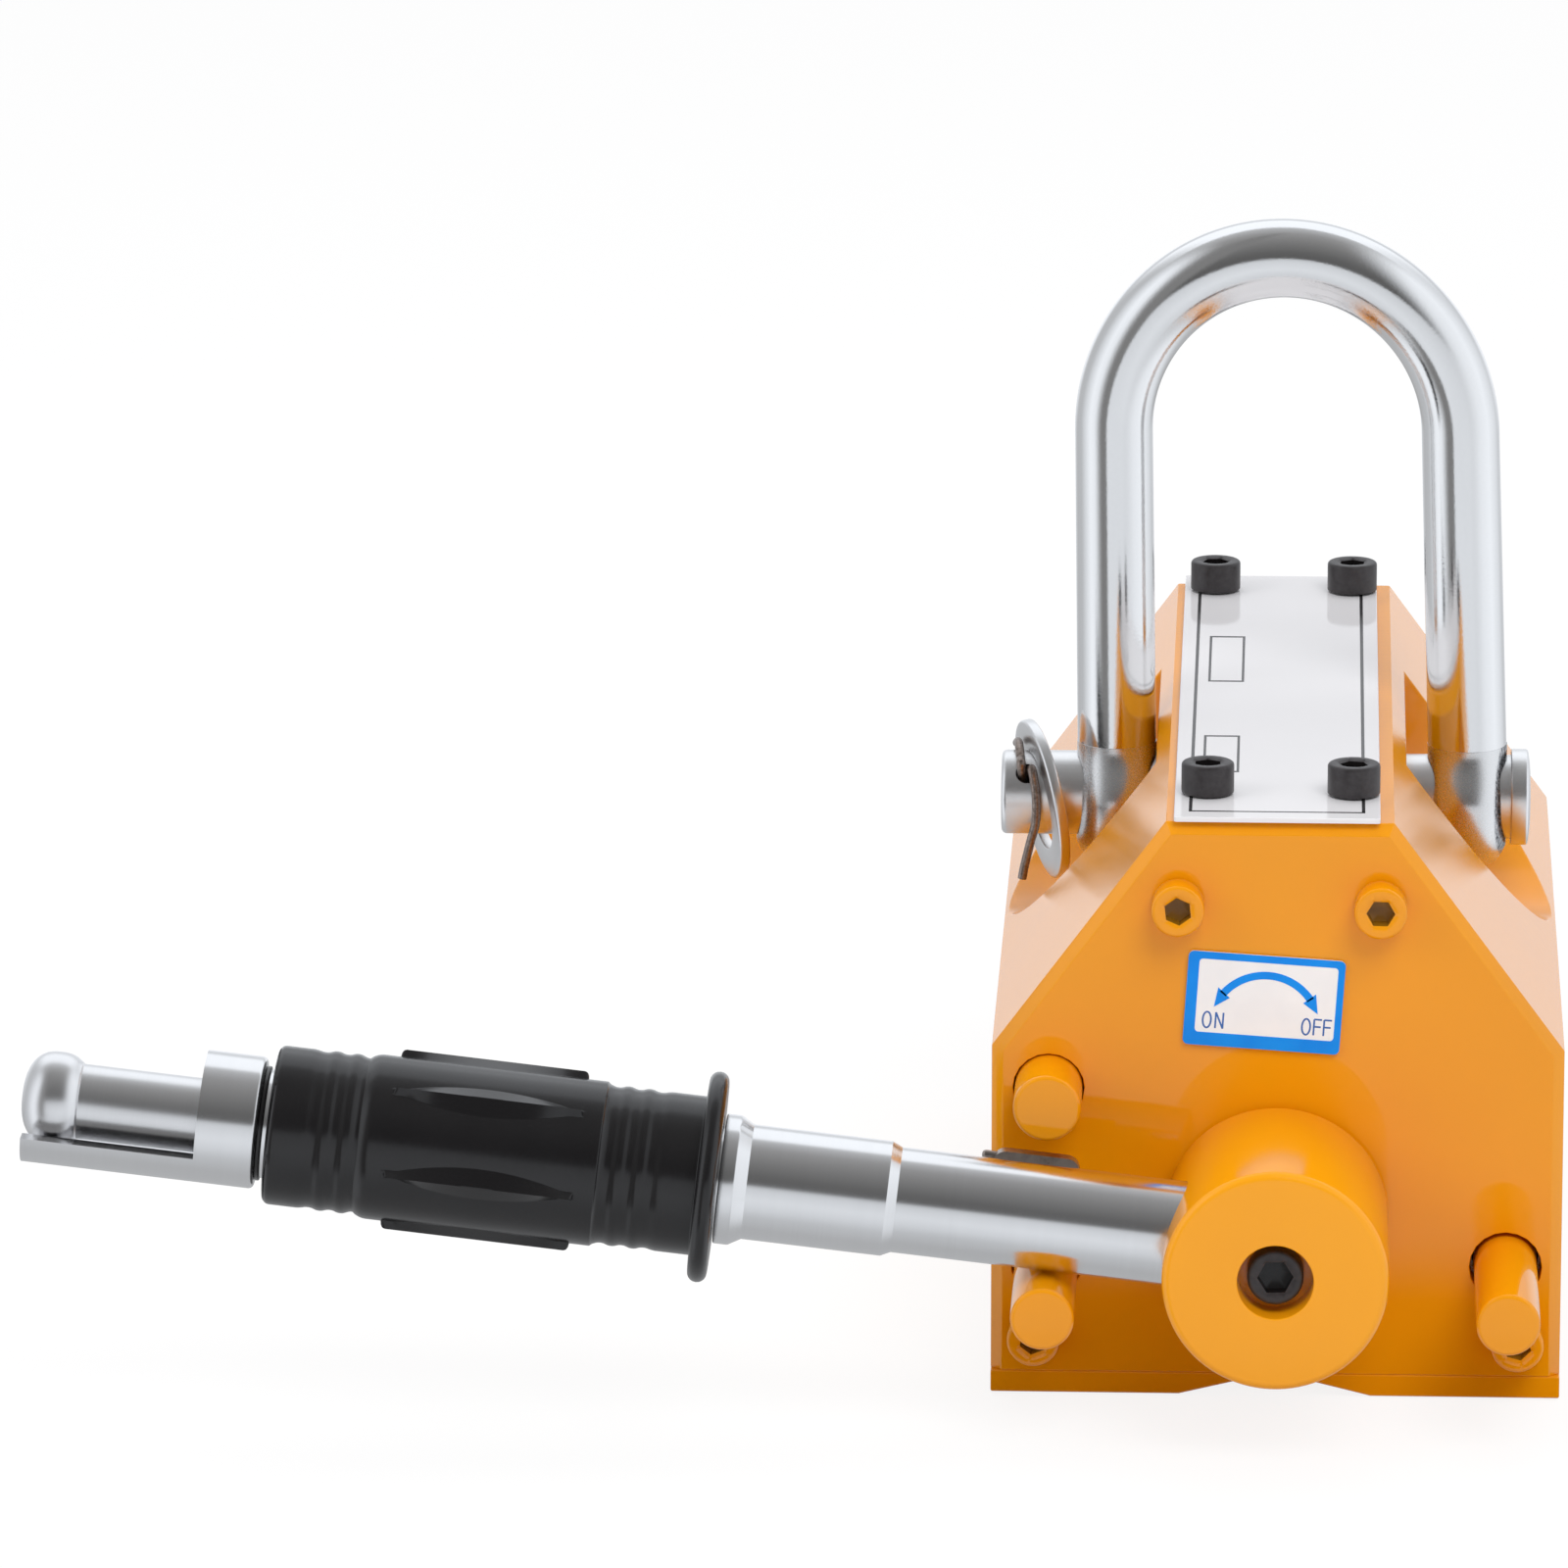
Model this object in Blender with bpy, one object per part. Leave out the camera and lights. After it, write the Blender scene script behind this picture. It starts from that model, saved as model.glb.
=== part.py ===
"""Permanent lifting magnet with a side handle, a shackle and a release button.

Metres, +Z up. The origin is on the base plane, in the middle of the pole
faces. The handle and the controls are on the -Y side, +X is to their right.
"""
import math

import bmesh
import bpy
from mathutils import Matrix, Vector

# Gaps
SEAT_GAP = 0.0003            # between two faces that rest on each other
RUN_GAP = 0.0003             # between a turning piece and what carries it
THREAD_GAP = 0.0003          # between a screw's shank and its hole

# Magnet body
BODY_LENGTH = 0.162
BODY_WIDTH = 0.092
BODY_HEIGHT = 0.0956
SHOULDER_HEIGHT = 0.058
RIDGE_WIDTH = 0.0365
GROOVE_WIDTH = 0.031
GROOVE_DEPTH = 0.0038
LEDGE_HEIGHT = 0.0037
COVER_THICKNESS = 0.0065
COVER_INSET = 0.0002
COVER_CHAMFER = 0.0016
WEB_MARGIN = 0.0023          # web between the pockets past the ridge, each side
POCKET_LIFT = 0.0109         # pocket's centre above the shackle's pin
POCKET_CLEARANCE = 0.0085    # pocket's floor to the shackle's eye

# Rotor
BORE_RADIUS = 0.0245
BORE_FLOOR = 0.0025          # steel between the groove and the bore
MAGNET_THICKNESS = 0.016
MAGNET_EDGE = 0.0042         # rotor's rim to the flat end of its magnet
FLANGE_THICKNESS = 0.006
SHAFT_RADIUS = 0.009
BUSH_WALL = 0.0022
SEAL_WIDTH = 0.0018
REAR_WALL = 0.0025
FLANGE_SCREW_EDGE = 0.008    # rotor's rim to the screw's centre
FLANGE_SCREW_RADIUS = 0.002
FLANGE_SCREW_LENGTH = 0.014
FLANGE_SCREW_HEAD = 0.0024

# Fixed magnets over the bore and brass strip under it
UPPER_MAGNET_WIDTH = 0.0254
UPPER_MAGNET_HEIGHT = 0.007
UPPER_MAGNET_WALL = 0.0034   # steel between the bore and the magnet
UPPER_MAGNET_BRIDGE = 0.0042  # steel left beside the shackle's pin
STRIP_WIDTH = 0.0054
STRIP_HEIGHT = 0.0024

# Hub
HUB_RADIUS = 0.0178
HUB_CHAMFER = 0.0009
HUB_GAP = 0.001
SOCKET_DEPTH = 0.0095
HUB_WALL = 0.00177
SCREW_SEAT_WALL = 0.0013
COUNTERBORE_ROOM = 0.00155   # round the hub screw's head
COUNTERBORE_DEPTH = 0.0069
HUB_SCREW_RADIUS = 0.003
HUB_SCREW_RIM = 0.0015       # head past the shank
HUB_SCREW_HEAD = 0.004
HUB_SCREW_KEY = 0.005
HUB_SCREW_GRIP = 0.0075
KEY_WIDTH = 0.005
KEY_LENGTH = 0.007
KEY_SINK = 0.0025

# Handle bar, outward from the hub
HANDLE_ANGLE = math.radians(6.46)
HANDLE_OFFSET = 0.001
BAR_RADIUS = 0.00843
BAR_TAIL = 0.012
BAR_CHAMFER = 0.0006
SLEEVE_STEP = 0.00077
SLEEVE_START = 0.0615
SLEEVE_LENGTH = 0.0241
COLLAR_STEP = 0.0012
COLLAR_LENGTH = 0.0038
GRIP_CORE_STEP = 0.00043
SPIGOT_STEP = 0.0005
SPIGOT_LENGTH = 0.0052       # inside the end guard
SPIGOT_SHOULDER = 0.0068     # inside the grip

# Rubber grip
GRIP_LENGTH = 0.0719
GRIP_WALL = 0.0052
GRIP_NECK_STEP = 0.00045
GRIP_FLANGE_STEP = 0.0037
GRIP_FLANGE_WIDTH = 0.0031
GRIP_INNER_SECTION = 0.0160
GRIP_OUTER_SECTION = 0.0161
GRIP_GROOVE_COUNT = 3
GRIP_GROOVE_PITCH = 0.0034
GRIP_GROOVE_DEPTH = 0.0004
GRIP_RING_STEP = 0.0002
RIB_COUNT = 6
RIB_SIDES = 6                # sides of the grip per rib
RIB_HEIGHT = 0.00125
RIB_MARGIN = 0.0032          # barrel's end to a rib's end
RIB_NOSE = 0.0007
RIB_HALF_ANGLE = math.radians(11.7)
RIB_END_SHARE = 0.25         # of the half angle, at the rib's ends
RIB_PHASE = math.radians(21.5)

# End guard, button, release rod, spring
GUARD_GAP = 0.0016
GUARD_COLLAR = 0.0096
GUARD_WALL = 0.0027
BUTTON_PROUD = 0.0007        # of the guard's tongue
TONGUE_ROOM = 0.0004         # round the button's head
TONGUE_DROP = 0.0044
BUTTON_STEM_RADIUS = 0.0060
BUTTON_STEM_INSERT = 0.010
BUTTON_NECK = 0.0199
BUTTON_HEAD = 0.0085
BUTTON_LIP = 0.0015
BUTTON_DOME = 0.0045
BUTTON_STROKE = 0.005
SPRING_ROOM = 0.020
SPRING_TURNS = 7
SPRING_TURN_POINTS = 9
SPRING_WIRE = 0.0005
ROD_RADIUS = 0.0028
ROD_SOCKET = 0.005

# Latch plate
LATCH_START = 0.0325
LATCH_LENGTH = 0.014
LATCH_THICKNESS = 0.0028
LATCH_WEB = 0.0024
LATCH_CORNER = 0.0022
LATCH_PIN_RADIUS = 0.0008

# Stop pins and lock pin in the front cover
STOP_PIN_EDGE = 0.009        # from the body's side
STOP_PIN_RADIUS = 0.0051
STOP_PIN_OVERHANG = 0.0019
STOP_PIN_COVER_GAP = 0.00075
LOCK_PIN_EDGE = 0.0092
LOCK_PIN_DROP = 0.0067       # from the shoulder
LOCK_PIN_RADIUS = 0.00545
LOCK_PIN_CLEARANCE = 0.0006
PIN_SINK = 0.016
PIN_CHAMFER = 0.0008

# Socket-head screws of the covers and the nameplate
SCREW_RADIUS = 0.0025
SCREW_RIM = 0.00175
SCREW_HEAD = 0.005
SCREW_EDGE = 0.00034
SCREW_KEY = 0.004
SCREW_KEY_DEPTH = 0.0026
COVER_SCREW_BITE = 0.010
UPPER_SCREW_EDGE = 0.00205   # from the ridge's edge
UPPER_SCREW_DROP = 0.01325   # from the ridge
LOWER_SCREW_EDGE = 0.007     # from the body's side
LOWER_SCREW_RISE = 0.0065    # from the ledge
PLATE_SCREW_BITE = 0.008

# Nameplate and label
NAMEPLATE_MARGIN = 0.00175
NAMEPLATE_THICKNESS = 0.0008
NAMEPLATE_SHIFT = -0.0005
PLATE_SCREW_EDGE = 0.00475
PLATE_SCREW_FRONT = 0.0082   # from the front end of the block's core
PLATE_SCREW_REAR = 0.0037    # from its rear end
LABEL_WIDTH = 0.0252
LABEL_HEIGHT = 0.0156
LABEL_THICKNESS = 0.0004
LABEL_CORNER = 0.0009
LABEL_CORNER_STEPS = 3
LABEL_X = -0.0023
LABEL_DROP = 0.0294          # from the ridge
LABEL_TURN = math.radians(3.7)

# Shackle and its pin
SHACKLE_BAR = 0.0065
SHACKLE_PLAY = 0.0026        # between the eyes and the web
SHACKLE_SHIFT = 0.00115
SHACKLE_RISE = 0.0915
PIN_DEPTH = 0.0165           # pin's axis under the ridge
EYE_SWELL = 0.0003
EYE_WALL = 0.0046            # round the pin
EYE_OUTSET = 0.001
SHACKLE_PIN_RADIUS = 0.007
SHACKLE_PIN_TAIL = 0.0110
SHACKLE_PIN_CHAMFER = 0.00084
PIN_HEAD_STEP = 0.001
PIN_HEAD_WIDTH = 0.0032
PIN_HOLE_GAP = 0.0003
WASHER_PLAY = 0.0013
WASHER_WALL = 0.0052
WASHER_THICKNESS = 0.0018
WASHER_GAP = 0.0042
WASHER_TURN = math.radians(14)
WASHER_LEAN = math.radians(9)

# Split pin
WIRE_RADIUS = 0.00075
WIRE_PITCH = 0.0016
SPLIT_HOLE_RADIUS = 0.0018
SPLIT_HOLE_INSET = 0.0034
SPLIT_HOLE_ANGLE = math.radians(41)
SPLIT_LEG_LENGTH = 0.0130
SPLIT_LEG_LAG = 0.0006
SPLIT_EYE_LENGTH = 0.0056
SPLIT_EYE_WIDTH = 0.0029
# Shares of the lag, the half pitch, the pin's clearance and the leg's length
SPLIT_LEG_BENDS = ((-1, 0, 0.89, -1), (-0.33, 0, 0.9, -0.83), (0, 1, 0.95, -0.5), (0, 2, 1, -0.25),
                   (0, 2.2, 1, 0), (0, 1.8, 0.93, 0.25))
# Shares of the half pitch, the eye's width and its length
SPLIT_EYE_BENDS = ((1, 0, 0), (0, 0, 0.46), (0, 0, 0.82), (0, -0.55, 1), (0, -1, 0.71), (0, -0.9, 0.32),
                   (-1, 0, 0))
SPLIT_WRAP_STEPS = 5
SPLIT_WRAP_ANGLE = math.radians(15)
SPLIT_WRAP_LEAD = 0.0004

# Sides of round shapes
BORE_SIDES = 48
POCKET_SIDES = 56
TURNED_SIDES = 32
HUB_SIDES = 36
BUSH_SIDES = 28
ROD_SIDES = 24
PIN_SIDES = 20
SCREW_SIDES = 18
SHACKLE_SIDES = 16
SHACKLE_BENDS = 18
EYE_STEPS = 6
HOLE_SIDES = 12
CORNER_STEPS = 4
POLE_STEPS = 22

# Derived places
FRONT = -BODY_LENGTH / 2
REAR = BODY_LENGTH / 2
CORE_END = REAR - COVER_THICKNESS - SEAT_GAP
AXIS_HEIGHT = GROOVE_DEPTH + BORE_FLOOR + BORE_RADIUS
WEB_WIDTH = RIDGE_WIDTH + 2 * WEB_MARGIN
BAR_HOLE_RADIUS = BAR_RADIUS + SEAT_GAP
HUB_REAR = FRONT - HUB_GAP
HANDLE_Y = HUB_REAR - SOCKET_DEPTH - HUB_WALL - BAR_HOLE_RADIUS
SCREW_SEAT_Y = HANDLE_Y - BAR_HOLE_RADIUS - SCREW_SEAT_WALL
HUB_FRONT = SCREW_SEAT_Y - COUNTERBORE_DEPTH
HUB_SCREW_HEAD_RADIUS = HUB_SCREW_RADIUS + HUB_SCREW_RIM
COUNTERBORE_RADIUS = HUB_SCREW_HEAD_RADIUS + COUNTERBORE_ROOM
SHAFT_TIP = HUB_REAR - SOCKET_DEPTH + SEAT_GAP
BUSH_RADIUS = SHAFT_RADIUS + RUN_GAP + BUSH_WALL
BUSH_HOLE_RADIUS = BUSH_RADIUS + SEAT_GAP
ROTOR_RADIUS = BORE_RADIUS - RUN_GAP
ROTOR_END = CORE_END - RUN_GAP
FLANGE_FACE = ROTOR_END - FLANGE_THICKNESS
FLANGE_SCREW_X = ROTOR_RADIUS - FLANGE_SCREW_EDGE
BLOCK_END = FLANGE_FACE - SEAT_GAP

SLEEVE_RADIUS = BAR_RADIUS + SLEEVE_STEP
COLLAR_START = SLEEVE_START + SLEEVE_LENGTH
COLLAR_RADIUS = SLEEVE_RADIUS + COLLAR_STEP
GRIP_START = COLLAR_START + COLLAR_LENGTH + SEAT_GAP
GRIP_END = GRIP_START + GRIP_LENGTH
GRIP_CORE_RADIUS = BAR_RADIUS - GRIP_CORE_STEP
GRIP_RADIUS = GRIP_CORE_RADIUS + GRIP_WALL
GRIP_NECK_RADIUS = GRIP_RADIUS - GRIP_NECK_STEP
GRIP_FLANGE_RADIUS = GRIP_RADIUS + GRIP_FLANGE_STEP
BARREL_START = GRIP_START + GRIP_FLANGE_WIDTH + GRIP_INNER_SECTION
BARREL_END = GRIP_END - GRIP_OUTER_SECTION
GUARD_START = GRIP_END + GUARD_GAP
GUARD_COLLAR_END = GUARD_START + GUARD_COLLAR
BAR_END = GUARD_START + SPIGOT_LENGTH
SPIGOT_RADIUS = GRIP_CORE_RADIUS - SPIGOT_STEP
SPIGOT_START = GUARD_START - SPIGOT_SHOULDER
BUTTON_STEM_START = BAR_END - BUTTON_STEM_INSERT
BUTTON_HEAD_RADIUS = BUTTON_STEM_RADIUS + BUTTON_LIP
BUTTON_HEAD_START = GUARD_COLLAR_END + BUTTON_NECK
BUTTON_REACH = BUTTON_HEAD_START + BUTTON_HEAD
CHAMBER_RADIUS = BUTTON_STEM_RADIUS + RUN_GAP
TONGUE_BORE = BUTTON_HEAD_RADIUS + TONGUE_ROOM
GUARD_RADIUS = TONGUE_BORE + GUARD_WALL
GUARD_REACH = BUTTON_REACH - BUTTON_PROUD
SPRING_START = BUTTON_STEM_START - SPRING_ROOM
SPRING_RADIUS = (ROD_RADIUS + CHAMBER_RADIUS) / 2

STOP_PIN_X = BODY_WIDTH / 2 - STOP_PIN_EDGE
STOP_REACH = BAR_RADIUS + SEAT_GAP + STOP_PIN_RADIUS - HANDLE_OFFSET
STOP_DROP = (STOP_REACH - STOP_PIN_X * math.sin(HANDLE_ANGLE)) / math.cos(HANDLE_ANGLE)
STOP_PIN_Z = AXIS_HEIGHT - STOP_DROP
STOP_PIN_TIP = HANDLE_Y - BAR_RADIUS - STOP_PIN_OVERHANG
LOCK_PIN_X = LOCK_PIN_EDGE - BODY_WIDTH / 2
LOCK_PIN_Z = SHOULDER_HEIGHT - LOCK_PIN_DROP
LOCK_PIN_TIP = HANDLE_Y + BAR_RADIUS + LOCK_PIN_CLEARANCE
SCREW_HEAD_RADIUS = SCREW_RADIUS + SCREW_RIM
RIDGE_TOP = BODY_HEIGHT + SEAT_GAP + NAMEPLATE_THICKNESS
NAMEPLATE_WIDTH = RIDGE_WIDTH - 2 * NAMEPLATE_MARGIN
PLATE_SCREW_X = NAMEPLATE_WIDTH / 2 - PLATE_SCREW_EDGE

PIN_HEIGHT = BODY_HEIGHT - PIN_DEPTH
EYE_HALF_WIDTH = SHACKLE_BAR + EYE_SWELL
EYE_RADIUS = SHACKLE_PIN_RADIUS + EYE_WALL
EYE_CENTRE_RADIUS = EYE_RADIUS - EYE_HALF_WIDTH
POCKET_HEIGHT = PIN_HEIGHT + POCKET_LIFT
POCKET_RADIUS = EYE_RADIUS + POCKET_LIFT + POCKET_CLEARANCE
SHACKLE_HALF = WEB_WIDTH / 2 + SHACKLE_PLAY + EYE_HALF_WIDTH - EYE_OUTSET
EYE_RIGHT = SHACKLE_SHIFT + SHACKLE_HALF + EYE_OUTSET
EYE_LEFT = SHACKLE_SHIFT - SHACKLE_HALF - EYE_OUTSET
PIN_HEAD_X = EYE_RIGHT + EYE_HALF_WIDTH + SEAT_GAP
PIN_TAIL_X = EYE_LEFT - EYE_HALF_WIDTH - SHACKLE_PIN_TAIL
WASHER_BORE = SHACKLE_PIN_RADIUS + WASHER_PLAY
SPLIT_HOLE_X = PIN_TAIL_X + SPLIT_HOLE_INSET

# Colours
YELLOW_PAINT = ((0.80, 0.30, 0.015), 0.30, 0.0)
BRIGHT_STEEL = ((0.62, 0.63, 0.65), 0.25, 1.0)
ZINC = ((0.66, 0.68, 0.71), 0.32, 1.0)
GREY_STEEL = ((0.30, 0.29, 0.28), 0.42, 1.0)
BLACK_SCREW = ((0.035, 0.032, 0.031), 0.38, 0.6)
BLACK_RUBBER = ((0.016, 0.015, 0.015), 0.60, 0.0)
BRASS = ((0.70, 0.48, 0.18), 0.35, 1.0)
MAGNET_GREY = ((0.12, 0.12, 0.13), 0.45, 0.8)
SILVER_PLATE = ((0.78, 0.78, 0.77), 0.40, 0.5)
WHITE_LABEL = ((0.85, 0.86, 0.88), 0.45, 0.0)
WIRE_BROWN = ((0.20, 0.15, 0.12), 0.40, 1.0)

ALONG_X = Matrix.Rotation(math.radians(90), 4, "Y")
ALONG_Y = Matrix.Rotation(math.radians(-90), 4, "X")
ALONG_MINUS_Y = Matrix.Rotation(math.radians(90), 4, "X")


# ---------------------------------------------------------------- tools

def clear_scene():
    for old in list(bpy.data.objects):
        bpy.data.objects.remove(old, do_unlink=True)


def own_material(name, finish):
    colour, roughness, metallic = finish
    surface = bpy.data.materials.new(name)
    surface.use_nodes = True
    shader = surface.node_tree.nodes["Principled BSDF"]
    shader.inputs["Base Color"].default_value = (*colour, 1.0)
    shader.inputs["Roughness"].default_value = roughness
    shader.inputs["Metallic"].default_value = metallic
    surface.diffuse_color = (*colour, 1.0)
    return surface


def empty(name, location, rotation=(0, 0, 0), parent=None):
    holder = bpy.data.objects.new(name, None)
    holder.location = location
    holder.rotation_euler = rotation
    holder.parent = parent
    bpy.context.scene.collection.objects.link(holder)
    return holder


def face_outward(bm):
    bmesh.ops.recalc_face_normals(bm, faces=bm.faces[:])
    if bm.calc_volume(signed=True) < 0:
        bmesh.ops.reverse_faces(bm, faces=bm.faces[:])


def mesh_from(name, bm):
    face_outward(bm)
    mesh = bpy.data.meshes.new(name)
    bm.to_mesh(mesh)
    bm.free()
    mesh.shade_smooth()
    mesh.set_sharp_from_angle(angle=math.radians(32))
    return mesh


def place(name, mesh, finish, location=(0, 0, 0), parent=None):
    piece = bpy.data.objects.new(name, mesh)
    piece.location = location
    piece.parent = parent
    bpy.context.scene.collection.objects.link(piece)
    if not mesh.materials:
        mesh.materials.append(own_material(name, finish))
    return piece


def solid(name, bm, finish, location=(0, 0, 0), parent=None):
    return place(name, mesh_from(name, bm), finish, location, parent)


def boolean_with(piece, name, bm, operation, location=(0, 0, 0)):
    helper = bpy.data.objects.new(piece.name + "_" + name, mesh_from(name, bm))
    helper.location = location
    helper.parent = piece.parent
    helper.hide_render = True
    helper.display_type = "WIRE"
    bpy.context.scene.collection.objects.link(helper)
    boolean = piece.modifiers.new(name, "BOOLEAN")
    boolean.operation = operation
    boolean.solver = "EXACT"
    boolean.object = helper
    return helper


def cut(piece, name, bm, location=(0, 0, 0)):
    """Cuts bm's shape, given in the frame of the piece's parent, out of the piece."""
    return boolean_with(piece, name, bm, "DIFFERENCE", location)


def join(piece, name, bm):
    """Adds bm's shape, given in the frame of the piece's parent, to the piece."""
    boolean_with(piece, name, bm, "UNION")


def spin_round(bm, chain, sides, closed):
    verts = [bm.verts.new((radius, 0, station)) for station, radius in chain]
    pairs = list(zip(verts, verts[1:]))
    if closed:
        pairs.append((verts[-1], verts[0]))
    edges = [bm.edges.new(pair) for pair in pairs]
    bmesh.ops.spin(bm, geom=verts + edges, cent=(0, 0, 0), axis=(0, 0, 1),
                   angle=math.tau, steps=sides, use_merge=True)
    bmesh.ops.remove_doubles(bm, verts=bm.verts[:], dist=1e-7)


def turned(chain, sides=TURNED_SIDES):
    """Solid of revolution about Z from (station, radius) pairs; it is closed on the axis."""
    bm = bmesh.new()
    ends = [(chain[0][0], 0.0)] if chain[0][1] > 0 else []
    tail = [(chain[-1][0], 0.0)] if chain[-1][1] > 0 else []
    spin_round(bm, ends + list(chain) + tail, sides, closed=False)
    return bm


def ring(chain, sides=TURNED_SIDES):
    """Ring about Z whose closed section is given by (station, radius) pairs."""
    bm = bmesh.new()
    spin_round(bm, chain, sides, closed=True)
    return bm


def rod(radius, start, end, sides=ROD_SIDES):
    return turned([(start, radius), (end, radius)], sides)


def chamfered_rod(radius, start, end, chamfer, sides=PIN_SIDES):
    """Rod from start to end along Z, with its start edge chamfered."""
    step = math.copysign(chamfer, end - start)
    return turned([(start, radius - chamfer), (start + step, radius), (end, radius)], sides)


def box(low, high):
    bm = bmesh.new()
    low, high = Vector(low), Vector(high)
    size = Matrix.Diagonal((high - low).to_4d())
    size[3][3] = 1.0
    bmesh.ops.create_cube(bm, size=1.0, matrix=Matrix.Translation((low + high) / 2) @ size)
    return bm


def prism(outline, low, high):
    """Solid of an (x, z) outline, between two y values."""
    bm = bmesh.new()
    face = bm.faces.new([bm.verts.new((x, low, z)) for x, z in outline])
    moved = bmesh.ops.extrude_face_region(bm, geom=[face])
    verts = [item for item in moved["geom"] if isinstance(item, bmesh.types.BMVert)]
    bmesh.ops.translate(bm, verts=verts, vec=(0, high - low, 0))
    return bm


def turn(bm, matrix):
    bm.transform(matrix)
    return bm


def merged(parts):
    """One mesh holding several separate bodies, for a cutter."""
    whole = bmesh.new()
    for part in parts:
        mesh = bpy.data.meshes.new("part")
        face_outward(part)
        part.to_mesh(mesh)
        part.free()
        whole.from_mesh(mesh)
        bpy.data.meshes.remove(mesh)
    return whole


def y_hole(x, z, radius, low, high, sides=PIN_SIDES):
    """Cylinder along Y at (x, z)."""
    bm = turn(rod(radius, low, high, sides), ALONG_Y)
    bmesh.ops.translate(bm, verts=bm.verts[:], vec=(x, 0, z))
    return bm


def arc(centre, radius, start, end, steps):
    """Points of an arc in a plane, angles in radians."""
    angles = [start + (end - start) * i / steps for i in range(steps + 1)]
    return [(centre[0] + radius * math.cos(a), centre[1] + radius * math.sin(a)) for a in angles]


def rounded_rectangle(width, height, corner, steps):
    points = []
    for quarter in range(4):
        start = quarter * math.pi / 2
        side_x = 1 if quarter in (0, 3) else -1
        side_z = 1 if quarter in (0, 1) else -1
        centre = (side_x * (width / 2 - corner), side_z * (height / 2 - corner))
        points += arc(centre, corner, start, start + math.pi / 2, steps)
    return points


def mirrored(right_side):
    """Closed outline from its right half, bottom to top."""
    return list(right_side) + [(-x, z) for x, z in reversed(right_side)]


def socket_screw(radius, length, head_radius, head, key):
    """Socket-head screw about Z: head from 0 up, shank down, hexagon socket in the head."""
    socket = key / math.sqrt(3)
    bm = turned([(-length, radius), (0, radius), (0, head_radius), (head - SCREW_EDGE, head_radius),
                 (head, head_radius - SCREW_EDGE), (head, socket), (head - SCREW_KEY_DEPTH, socket)],
                SCREW_SIDES)
    for vert in bm.verts:
        reach = vert.co.xy.length
        if abs(reach - socket) < 1e-6 and vert.co.z > 0:
            angle = math.atan2(vert.co.y, vert.co.x) % (math.pi / 3)
            flat = key / 2 / math.cos(angle - math.pi / 6)
            vert.co.xy *= flat / reach
    return bm


# ---------------------------------------------------------------- magnet block

def block_outline():
    half = BODY_WIDTH / 2
    right = [(GROOVE_WIDTH / 2, 0), (half, 0), (half, SHOULDER_HEIGHT), (RIDGE_WIDTH / 2, BODY_HEIGHT)]
    return [(0, GROOVE_DEPTH)] + mirrored(right)


def cover_outline():
    half = BODY_WIDTH / 2 - COVER_INSET
    floor = LEDGE_HEIGHT + SEAT_GAP
    right = [(half, floor), (half, SHOULDER_HEIGHT), (RIDGE_WIDTH / 2, BODY_HEIGHT - COVER_INSET)]
    return mirrored(right)


def cover_screw_places():
    upper = (RIDGE_WIDTH / 2 - UPPER_SCREW_EDGE, BODY_HEIGHT - UPPER_SCREW_DROP)
    lower = (BODY_WIDTH / 2 - LOWER_SCREW_EDGE, LEDGE_HEIGHT + LOWER_SCREW_RISE)
    return [(side * x, z) for x, z in (upper, lower) for side in (-1, 1)]


def plate_screw_places():
    rows = (-CORE_END + PLATE_SCREW_FRONT, CORE_END - PLATE_SCREW_REAR)
    return [(side * PLATE_SCREW_X, y) for y in rows for side in (-1, 1)]


def magnet_body():
    piece = solid("magnet_body", prism(block_outline(), FRONT, REAR), YELLOW_PAINT)
    beyond = BODY_LENGTH
    cut(piece, "bore", y_hole(0, AXIS_HEIGHT, BORE_RADIUS, -beyond, beyond, BORE_SIDES))
    for end, name in ((-1, "front_ledge"), (1, "rear_ledge")):
        inner, outer = sorted((end * CORE_END, end * beyond))
        cut(piece, name, box((-BODY_WIDTH, inner, LEDGE_HEIGHT), (BODY_WIDTH, outer, 2 * BODY_HEIGHT)))
    cut(piece, "magnet_pockets", merged([upper_magnet_box(end, SEAT_GAP, beyond) for end in (-1, 1)]))
    slot = STRIP_WIDTH / 2 + SEAT_GAP
    slot_top = AXIS_HEIGHT - BORE_RADIUS / 2
    cut(piece, "strip_slot", box((-slot, -beyond, -GROOVE_DEPTH), (slot, beyond, slot_top)))
    for side, name in ((-1, "left_pocket"), (1, "right_pocket")):
        inner, outer = sorted((side * WEB_WIDTH / 2, side * BODY_WIDTH))
        disc = turn(rod(POCKET_RADIUS, inner, outer, POCKET_SIDES), ALONG_X)
        cut(piece, name, disc, (0, 0, POCKET_HEIGHT))
    pin_hole = turn(rod(SHACKLE_PIN_RADIUS + PIN_HOLE_GAP, -BODY_WIDTH, BODY_WIDTH), ALONG_X)
    cut(piece, "pin_hole", pin_hole, (0, 0, PIN_HEIGHT))
    cut(piece, "screw_holes", merged(body_screw_holes()))
    cut(piece, "stop_holes", merged(body_pin_holes()))
    return piece


def body_screw_holes():
    radius = SCREW_RADIUS + THREAD_GAP
    depth = CORE_END - COVER_SCREW_BITE - THREAD_GAP
    holes = []
    for x, z in cover_screw_places():
        holes.append(y_hole(x, z, radius, -REAR, -depth, HOLE_SIDES))
        holes.append(y_hole(x, z, radius, depth, REAR, HOLE_SIDES))
    for x, y in plate_screw_places():
        hole = rod(radius, BODY_HEIGHT - PLATE_SCREW_BITE - THREAD_GAP, 2 * BODY_HEIGHT, HOLE_SIDES)
        bmesh.ops.translate(hole, verts=hole.verts[:], vec=(x, y, 0))
        holes.append(hole)
    return holes


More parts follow.
